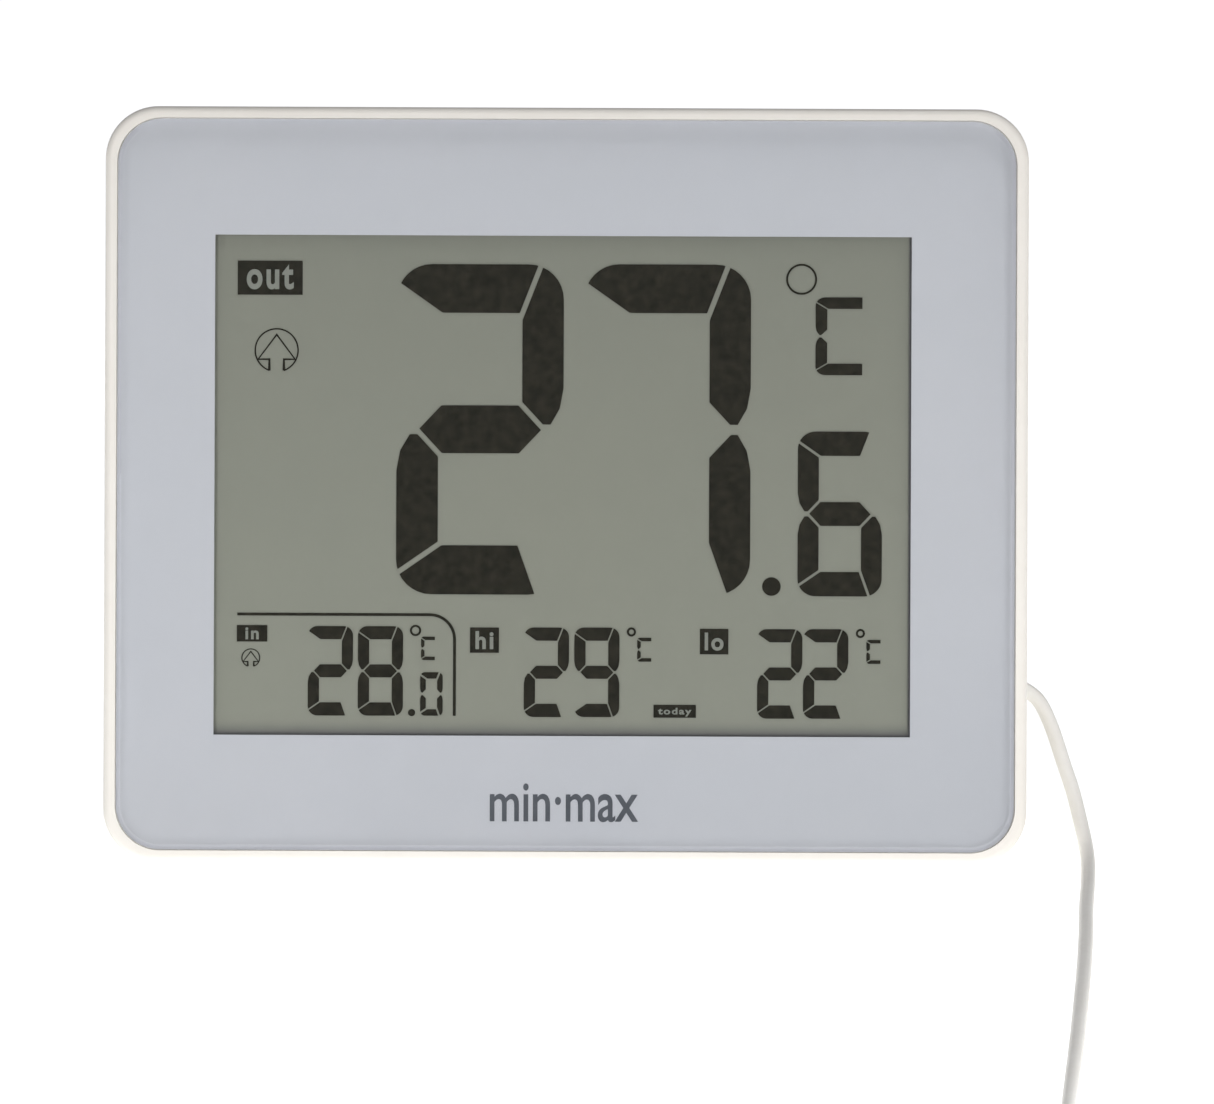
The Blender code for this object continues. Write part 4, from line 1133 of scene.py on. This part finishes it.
@dataclass
class Display:
    """What the display shows: the outdoor and indoor readings, and the highest and lowest of the day."""

    digit: SegmentDigit = field(default_factory=SegmentDigit)
    ink: Spot = (0.00272, 0.00278)
    label: Spot = (0.00267, 0.00271)
    big: Spot = (0.01990, 0.03940)
    tenth: Spot = (0.01005, 0.01966)
    small: Spot = (0.00538, 0.01068)
    fine_digit: SegmentDigit = field(default_factory=lambda: SegmentDigit(gap=0.042))
    fine_below: float = 0.006  # signs lower than this are drawn with the wider gaps

    def show(self, name: str, shape: Shape, finish: Finish = INK) -> None:
        """Adds one piece of what the display shows."""
        Workpiece(name, shape).settle(finish, "case", (), "display_glass", SHOWN)

    def figures(self, name: str, *shown: tuple[str, Spot, Spot]) -> None:
        """Adds figures as one piece; each is its sign, its corner and its size."""
        parts = []
        for sign, corner, size in shown:
            digit = self.fine_digit if size[1] < self.fine_below else self.digit
            parts.append(digit.figure(sign, corner, size, self.ink))
        self.show(name, gathered(*parts))

    def dot(self, centre: Spot, radius: float) -> Shape:
        """A decimal point."""
        start, end = (centre[0], self.ink[0], centre[1]), (centre[0], self.ink[1], centre[1])
        return drum(radius, start, end, 32)

    def badge(self, name: str, text: str, centre: Spot, size: Spot, letters: Spot,
              drop: float = 0.0) -> None:
        """Adds a dark badge with a light word.

        Args:
            name: The start of the two pieces' names.
            text: The word.
            centre: The badge's middle.
            size: The badge's width and height.
            letters: The word's width and height.
            drop: How far below the badge's middle the word's middle is.
        """
        self.show(f"{name}_badge", plate(*size, self.ink, centre))
        word = lettering(text, (centre[0], centre[1] - drop), letters, self.label, 0.030, 1.20)
        self.show(f"{name}_word", word, PAPER)

    def arrow(self, centre: Spot, radius: float, line: float) -> Shape:
        """The trend sign: a circle, open at the bottom, with an outlined arrow that points up in it."""
        x, z = centre
        opening = 0.34  # half the open stretch, in radians
        steps = 40
        arc = math.tau - 2 * opening
        turn = [-math.pi / 2 + opening + arc * step / steps for step in range(steps + 1)]
        rim = [(x + radius * math.cos(a), z + radius * math.sin(a)) for a in turn]
        half, stem, shoulder = radius * 0.86, radius * 0.34, z - radius * 0.42
        left = [(x - stem, rim[-1][1]), (x - stem, shoulder), (x - half, shoulder), (x, z + radius * 0.73)]
        right = [(2 * x - a, b) for a, b in reversed(left[:-1])]
        return gathered(stroke(rim, line, self.ink), stroke([*left, *right], line * 1.6, self.ink))

    def outdoor(self) -> None:
        """The large outdoor reading and its signs."""
        self.figures("outdoor_tens", ("2", (-0.02046, 0.03187), self.big))
        self.figures("outdoor_units", ("7", (0.00187, 0.03192), self.big))
        self.figures("outdoor_tenths", ("6", (0.02743, 0.03181), self.tenth))
        self.figures("outdoor_scale", ("C", (0.02948, 0.05820), (0.00558, 0.00928)))
        degree = ring((0.02779, 0.06962), 0.00173, 0.00024, self.ink)
        self.show("outdoor_marks", gathered(self.dot((0.02433, 0.03296), 0.00111), degree))
        self.badge("outdoor", "out", (-0.03560, 0.06956), (0.00774, 0.00406), (0.00561, 0.00300), -0.0001)
        self.show("outdoor_trend", self.arrow((-0.03480, 0.06091), 0.00256, 0.00020))

    def indoor(self) -> None:
        """The small indoor reading, boxed off in the display's corner."""
        self.figures(
            "indoor_figures",
            ("2", (-0.03093, 0.01736), self.small), ("8", (-0.02496, 0.01737), self.small),
            ("0", (-0.01752, 0.01739), (0.00268, 0.00519)), ("C", (-0.01744, 0.02402), (0.00165, 0.00280)),
        )
        radius, left, right, top, low = 0.00293, -0.03937, -0.01344, 0.02943, 0.01738
        bend = [
            (right - radius + radius * math.sin(a), top - radius + radius * math.cos(a))
            for a in (math.pi / 2 * step / 12 for step in range(13))
        ]
        frame_line = stroke([(left, top), *bend, (right, low)], 0.00040, self.ink)
        degree = ring((-0.01810, 0.02755), 0.00055, 0.00026, self.ink)
        self.show("indoor_marks", gathered(frame_line, self.dot((-0.01853, 0.01775), 0.00043), degree))
        self.badge("indoor", "in", (-0.03760, 0.02713), (0.00363, 0.00196), (0.00160, 0.00142))
        self.show("indoor_trend", self.arrow((-0.03774, 0.02421), 0.00106, 0.00014))

    def extremes(self) -> None:
        """The day's highest and lowest readings."""
        small_c = (0.00168, 0.00286)
        self.figures(
            "highest_figures",
            ("2", (-0.00516, 0.01728), self.small), ("9", (0.00085, 0.01730), self.small),
            ("C", (0.00835, 0.02393), small_c),
        )
        self.figures(
            "lowest_figures",
            ("2", (0.02267, 0.01719), self.small), ("2", (0.02815, 0.01721), self.small),
            ("C", (0.03569, 0.02378), small_c),
        )
        spots = ((0.00765, 0.02747), (0.03497, 0.02740))
        self.show("extreme_marks", gathered(*(ring(spot, 0.00042, 0.00026, self.ink) for spot in spots)))
        self.badge("highest", "hi", (-0.00987, 0.02643), (0.00345, 0.00302), (0.00215, 0.00215))
        self.badge("lowest", "lo", (0.01752, 0.02636), (0.00340, 0.00305), (0.00225, 0.00215))
        self.badge("day", "today", (0.01285, 0.01803), (0.00506, 0.00154), (0.00400, 0.00105), 0.0001)

    def build(self) -> None:
        """Builds everything that the display shows."""
        cover_node("display_polariser", DISPLAY)
        self.outdoor()
        self.indoor()
        self.extremes()


# ---------------------------------------------------------------- casing


@dataclass
class Casing:
    """The front shell, the rear cover, their screws and the three push buttons."""

    width: float = 0.110
    height: float = 0.090
    radius: float = 0.0063
    rim_y: float = 0.0003
    rim_round: float = 0.0009
    wall: float = 0.0017
    pocket: Spot = (0.10710, 0.08718)
    pocket_radius: float = 0.00536
    seat: Spot = (0.0033, 0.0050)
    screws: tuple[Spot, ...] = ((-0.0450, 0.0096), (0.0450, 0.0096), (-0.0450, 0.0804), (0.0450, 0.0804))
    flange: Spot = (0.1076, 0.0876)
    flange_span: Spot = (0.0093, 0.0108)
    tub: Spot = (0.100, 0.080)
    back_y: float = 0.0220
    tub_wall: float = 0.0016
    bay: tuple[float, ...] = (0.0530, 0.0475, 0.0715, 0.0096)  # width, low z, high z, floor y
    recess: Point = (0.0376, 0.0182, 0.0443)  # width, floor y, top z
    hinge: Spot = (0.0203, 0.0420)  # y and z of the leg's pins
    opening: Spot = (0.0870, 0.0660)
    opening_centre: Spot = (-0.0003, 0.0437)
    post: float = 0.0020  # radius of the screw posts
    pilot: float = 0.00125  # radius of the screws' holes
    well: float = 0.0023  # radius of the wells over the screws' heads
    tub_radius: float = 0.0055
    inner_radius: float = 0.0039
    back_round: float = 0.0020
    ledge_y: float = 0.0203  # what the battery door lies on
    latch_room: float = 0.0068
    key_hole: float = 0.0027  # radius of the buttons' holes
    keyhole_z: float = 0.0780
    keyhole_radius: float = 0.0032
    keyhole_slot: Spot = (0.0034, 0.0060)
    keyhole_slot_z: float = 0.0799
    vents: int = 5
    vent_pitch: float = 0.0030
    tab_zs: Spot = (0.0656, 0.0534)  # where the contacts' tabs come through
    button_x: float = -0.0330
    buttons: tuple[tuple[str, float], ...] = (("memory", 0.0340), ("clear", 0.0245), ("unit", 0.0150))

    def round_holes(self, radius: float, spots: Sequence[Spot], span: Spot, sides: int = 32) -> Shape:
        """Round tools through the case at the given x and z."""
        return gathered(*(drum(radius, (x, span[0], z), (x, span[1], z), sides) for x, z in spots))

    def make_shell(self) -> Piece:
        """The front shell, which holds the clear plate."""
        blank = plate(self.width, self.height, (self.rim_y, SHELL_BACK_Y), radius=self.radius, steps=16)
        shell = Workpiece("casing_front", bevel_rim(blank, self.rim_y, self.rim_round, 5))
        inner = (self.width - 2 * self.wall, self.height - 2 * self.wall)
        shell.cut(
            plate(*self.pocket, (-0.002, self.seat[0]), radius=self.pocket_radius, steps=16),
            plate(*inner, (self.seat[1], 0.012), radius=self.radius - self.wall, steps=8),
            plate(*self.opening, (0.0, 0.02), self.opening_centre),
        )
        shell.join(*(drum(self.post, (x, 0.0042, z), (x, 0.0089, z), 32) for x, z in self.screws))
        shell.cut(self.round_holes(self.pilot, self.screws, (0.0062, 0.011), 24), under_desk(CASE))
        return shell.soften(0.00012).settle(CASING, "case", ["front_shell"], "casing_white")

    def make_cover(self) -> Piece:
        """The rear cover, with its bay, the leg's recess, the screw wells and the small openings."""
        span = (self.flange_span[0] + 0.0005, self.back_y)
        blank = plate(*self.tub, span, radius=self.tub_radius, steps=12)
        cover = Workpiece("casing_back", bevel_rim(blank, self.back_y, self.back_round, 6))
        rear = self.back_y + 0.002
        wide, low, high, floor = self.bay
        half = wide / 2
        recess_w, recess_y, recess_top = self.recess
        cover.join(plate(*self.flange, self.flange_span, radius=0.0051, steps=12))
        inner = (self.tub[0] - 2 * self.tub_wall, self.tub[1] - 2 * self.tub_wall)
        cover.cut(plate(*inner, (0.0085, self.back_y - self.tub_wall), radius=self.inner_radius, steps=8))
        cover.join(*(drum(0.0036, (x, 0.0095, z), (x, 0.0210, z)) for x, z in self.screws))
        around, ledge, pin = 0.0025, 0.0015, recess_w / 2 + 0.0016
        cover.join(
            block((-half - around, floor - 0.0010, low - around), (half + around, 0.0210, high + around)),
            block(
                (-recess_w / 2 - 0.0027, recess_y - 0.0015, 0.0058),
                (recess_w / 2 + 0.0027, 0.0212, recess_top + 0.0012),
            ),
        )
        cover.cut(
            self.round_holes(self.well, self.screws, (self.flange_span[1], rear)),
            self.round_holes(self.pilot, self.screws, (0.0083, 0.0118), 24),
            block((-half, floor, low), (half, rear, high)),
            block((-half - ledge, self.ledge_y, low - ledge), (half + ledge, rear, high + ledge)),
            block((-self.latch_room, self.ledge_y, high + 0.001), (self.latch_room, rear, high + 0.0034)),
            block((-recess_w / 2, recess_y, 0.0030), (recess_w / 2, rear, recess_top)),
            drum(0.0013, (-pin, *self.hinge), (pin, *self.hinge), 24),
            self.small_openings(rear),
            drum(self.keyhole_radius, (0, 0.0195, self.keyhole_z), (0, rear, self.keyhole_z)),
            plate(*self.keyhole_slot, (0.0195, rear), (0, self.keyhole_slot_z), 0.0016, 8),
        )
        return cover.soften(0.0002).settle(REAR, "case", ["rear_cover"], "casing_white")

    def small_openings(self, rear: float) -> Shape:
        """The button holes, the lead's hole, the vents and the contact tabs' slots."""
        spots = [(self.button_x, z) for _, z in self.buttons]
        tools = [self.round_holes(self.key_hole, spots, (0.0195, rear))]
        inside, outside = 0.0470, 0.0520  # the side walls' x
        lead_hole = (0.0160, 0.0213)
        tools.append(drum(0.0026, (inside, *lead_hole), (outside, *lead_hole)))
        for row in range(self.vents):
            z = 0.0240 + self.vent_pitch * row
            tools.append(block((-outside, 0.0125, z), (-inside, 0.0185, z + 0.0012)))
        start, end, reach = self.bay[0] / 2 - 0.0005, self.bay[0] / 2 + 0.0035, 0.0018
        for z in self.tab_zs:
            tools.append(block((start, 0.01445, z - reach), (end, 0.01565, z + reach)))
        return gathered(*tools)

    def make_screw(self, number: int, x: float, z: float) -> Piece:
        """A pan head screw with a cross recess, at the bottom of its well."""
        profile = [
            (0, -0.0046), (0.0003, -0.0046), (0.0009, -0.0038), (0.00095, 0), (0.0018, 0), (0.0019, 0.0001),
            (0.0019, 0.0006), (0.0017, 0.0009), (0.0012, 0.0011), (0.0006, 0.0012), (0, 0.0012),
        ]
        head = 0.0111
        place = Matrix.Translation((x, head, z)) @ TO_Y
        screw = Workpiece(f"screw_{number}", turned(profile, place, 32))
        reach, arm, top = 0.0011, 0.00028, head + 0.0012
        screw.cut(
            block((x - reach, top - 0.0007, z - arm), (x + reach, top + 0.001, z + arm)),
            block((x - arm, top - 0.0007, z - reach), (x + arm, top + 0.001, z + reach)),
        )
        return screw.settle(STEEL, "case", [f"case_screw_{number}"], "plated_steel")

    def make_button(self, name: str, z: float) -> Piece:
        """A push button with a slightly dished end."""
        profile = [
            (0, -0.0057), (0.0012, -0.0057), (0.0012, -0.0045), (0.0031, -0.0045), (0.0031, -0.0035),
            (0.0024, -0.0035), (0.0024, 0.0001), (0.00232, 0.00028), (0.00215, 0.00038), (0.0019, 0.0004),
            (0.0012, 0.00028), (0.0006, 0.00022), (0, 0.0002),
        ]
        place = Matrix.Translation((self.button_x, self.back_y, z)) @ TO_Y
        button = Workpiece(f"key_{name}", turned(profile, place))
        return button.settle(KEY, f"{name}_key", [f"{name}_button"], "casing_white")

    def build(self) -> None:
        """Builds the casing and what is fixed to it."""
        self.make_shell()
        self.make_cover()
        for number, (x, z) in enumerate(self.screws, 1):
            self.make_screw(number, x, z)
        for name, z in self.buttons:
            self.make_button(name, z)


@dataclass
class BatteryBay:
    """The door over the batteries, the two cells, and the springs that press on them."""

    bay: Point = (0.0530, 0.0475, 0.0715)  # width, low z, high z
    back_y: float = 0.0220
    cell_y: float = 0.01505
    upper_z: float = 0.0656
    lower_z: float = 0.0534
    cell_radius: float = 0.00515
    cell_length: float = 0.0435
    contact_x: float = 0.0258

    def make_door(self) -> Piece:
        """The door, with its latch tab and four grip grooves."""
        wide, low, high = self.bay
        half, bottom, top = wide / 2 + 0.0012, low - 0.0012, high + 0.0012
        inner, grip, pitch = 0.0206, 0.0060, 0.0016
        door = Workpiece("door_panel", block((-half, inner, bottom), (half, self.back_y, top)))
        door.join(block((-grip, inner, top - 0.001), (grip, self.back_y - GAP, top + 0.0016)))
        grooves = []
        for row in range(4):
            z = top - 0.0040 - pitch * row
            near, far = (-grip, self.back_y - 0.0004, z), (grip, self.back_y + 0.001, z + pitch / 2)
            grooves.append(block(near, far))
        door.cut(gathered(*grooves))
        return door.soften(0.00018).settle(REAR, "door", ["battery_door"], "casing_white")

    def make_cell(self, name: str, node: str, z: float, sign: int) -> Piece:
        """One dry cell, with its crimped ends and its small raised contact."""
        r, full = self.cell_radius, self.cell_length
        profile = [
            (0, 0.0002), (0.0030, 0.0002), (0.0032, 0), (r - 0.0007, 0), (r - 0.0001, 0.0004), (r, 0.0009),
            (r, full - 0.0009), (r - 0.0001, full - 0.0004), (r - 0.0007, full), (0.0030, full),
            (0.0028, full - 0.0002), (0.0019, full - 0.0002), (0.0018, full + 0.0008),
            (0.0016, full + 0.0010), (0, full + 0.0010),
        ]
        start = -sign * 0.0190
        place = Matrix.Translation((start, self.cell_y, z)) @ Matrix.Rotation(sign * math.pi / 2, 4, "Y")
        sleeve = CellSleeve(
            f"sleeve_{name}", (0.030, 0.040, 0.065), (0.040, 0.052, 0.080), 0.28, coat=0.5, start=start,
            sign=float(sign),
        )
        cell = Workpiece(f"cell_{name}", turned(profile, place, 48))
        return cell.settle(sleeve, "case", [node], "battery_sleeve")

    def make_spring(self, name: str, node: str, z: float, sign: int) -> Piece:
        """A cone spring between a contact plate and a cell's flat end."""
        turns, steps, length, wire = 4, 24, 0.0058, 0.00025
        points = []
        for step in range(turns * steps + 1):
            share = step / (turns * steps)
            angle, radius = math.tau * step / steps, 0.0034 - 0.0009 * share
            x = sign * (self.contact_x - GAP - wire - (length - 2 * wire) * share)
            round_it = Vector((0.0, radius * math.cos(angle), radius * math.sin(angle)))
            points.append(CASE @ (Vector((x, self.cell_y, z)) + round_it))
        return dress(round_line(f"spring_{name}", points, wire, 2), STEEL, "case", [node])

    def build(self) -> None:
        """Builds the door and what lies behind it."""
        self.make_door()
        self.make_cell("upper", "battery_upper", self.upper_z, 1)
        self.make_cell("lower", "battery_lower", self.lower_z, -1)
        self.make_spring("right", "spring_negative", self.lower_z, 1)
        self.make_spring("left", "spring_link", self.upper_z, -1)
        for node in ("contact_positive", "contact_negative", "contact_link"):
            cover_node(node, STEEL)


@dataclass
class Stand:
    """The leg that folds out of the rear cover."""

    hinge: Spot = (0.0203, 0.0420)
    length: float = 0.0400
    width: float = 0.0366
    foot_width: float = 0.0300
    thickness: float = 0.0030
    sole_cut: float = 0.002  # what is added for the cut along the desk
    pin: float = 0.0010
    pin_reach: float = 0.0201
    panel: Spot = (0.0200, 0.0240)
    panel_depth: float = 0.0010
    panel_z: float = -0.0200
    rib: Spot = (0.0012, 0.0200)
    rib_x: float = 0.004

    def opened(self) -> float:
        """How far the leg stands open, so that its sole lies on the desk."""
        height = self.hinge[1] * math.cos(LEAN) - self.hinge[0] * math.sin(LEAN) + CASE_LIFT
        return LEAN + math.acos(height / self.length)

    def build(self) -> Piece:
        """Builds the tapered leg, with barrel, pins and a shallow panel with two ribs."""
        half = self.thickness / 2
        place = CASE @ Matrix.Translation((0.0, *self.hinge)) @ Matrix.Rotation(self.opened(), 4, "X")
        reach = self.length + self.sole_cut
        blank = plate(self.width, reach, (-half, half), (0.0, -reach / 2))
        foot = [v for v in blank.verts if v.co.z < -self.length / 2]
        bmesh.ops.scale(blank, vec=(self.foot_width / self.width, 1.0, 1.0), verts=foot)
        leg = Workpiece("leg", blank)
        leg.join(
            drum(half, (-self.width / 2, 0, 0), (self.width / 2, 0, 0)),
            drum(self.pin, (-self.pin_reach, 0, 0), (self.pin_reach, 0, 0), 24),
        )
        panel = plate(*self.panel, (half - self.panel_depth, 0.003), (0.0, self.panel_z), 0.0030)
        leg.cut(panel, under_desk(place))
        span = (half - self.panel_depth - 0.0002, half - 0.0003)
        leg.join(*(plate(*self.rib, span, (x, self.panel_z), 0.0005, 4) for x in (-self.rib_x, self.rib_x)))
        return leg.soften(0.00025).settle(REAR, "leg", ["stand_leg"], "casing_white", place)


@dataclass
class Insides:
    """The parts inside the case, whose CAD shapes stay and get their finishes."""

    covered: tuple[tuple[Finish, tuple[str, ...]], ...] = (
        (TAPE, ("lens_tape",)), (GLASS, ("display_cell",)), (REFLECTOR, ("display_reflector",)),
        (TRAY, ("display_holder",)), (RUBBER, ("display_contact_strip",)), (BOARD, ("circuit_board",)),
        (EPOXY, ("controller_blob", "room_sensor")),
        (SWITCH, ("memory_switch", "clear_switch", "unit_switch")),
        (STEEL, ("clock_crystal", "board_screw_1", "board_screw_2", "board_screw_3", "board_screw_4")),
        (RED, ("battery_wire_red",)), (BLACK, ("battery_wire_black",)), (LEAD, ("probe_lead_inner",)),
    )

    def build(self) -> None:
        """Covers each part."""
        for finish, nodes in self.covered:
            for node in nodes:
                cover_node(node, finish)


def main() -> None:
    """Builds the thermometer piece by piece."""
    logging.basicConfig(level=logging.INFO, format="%(name)s: %(message)s")
    Studio().build()
    for part in (Lead(), FrontPanel(), Display(), Casing(), BatteryBay(), Stand(), Insides()):
        part.build()
        LOG.info("%s done", type(part).__name__)


if __name__ == "__main__":
    main()
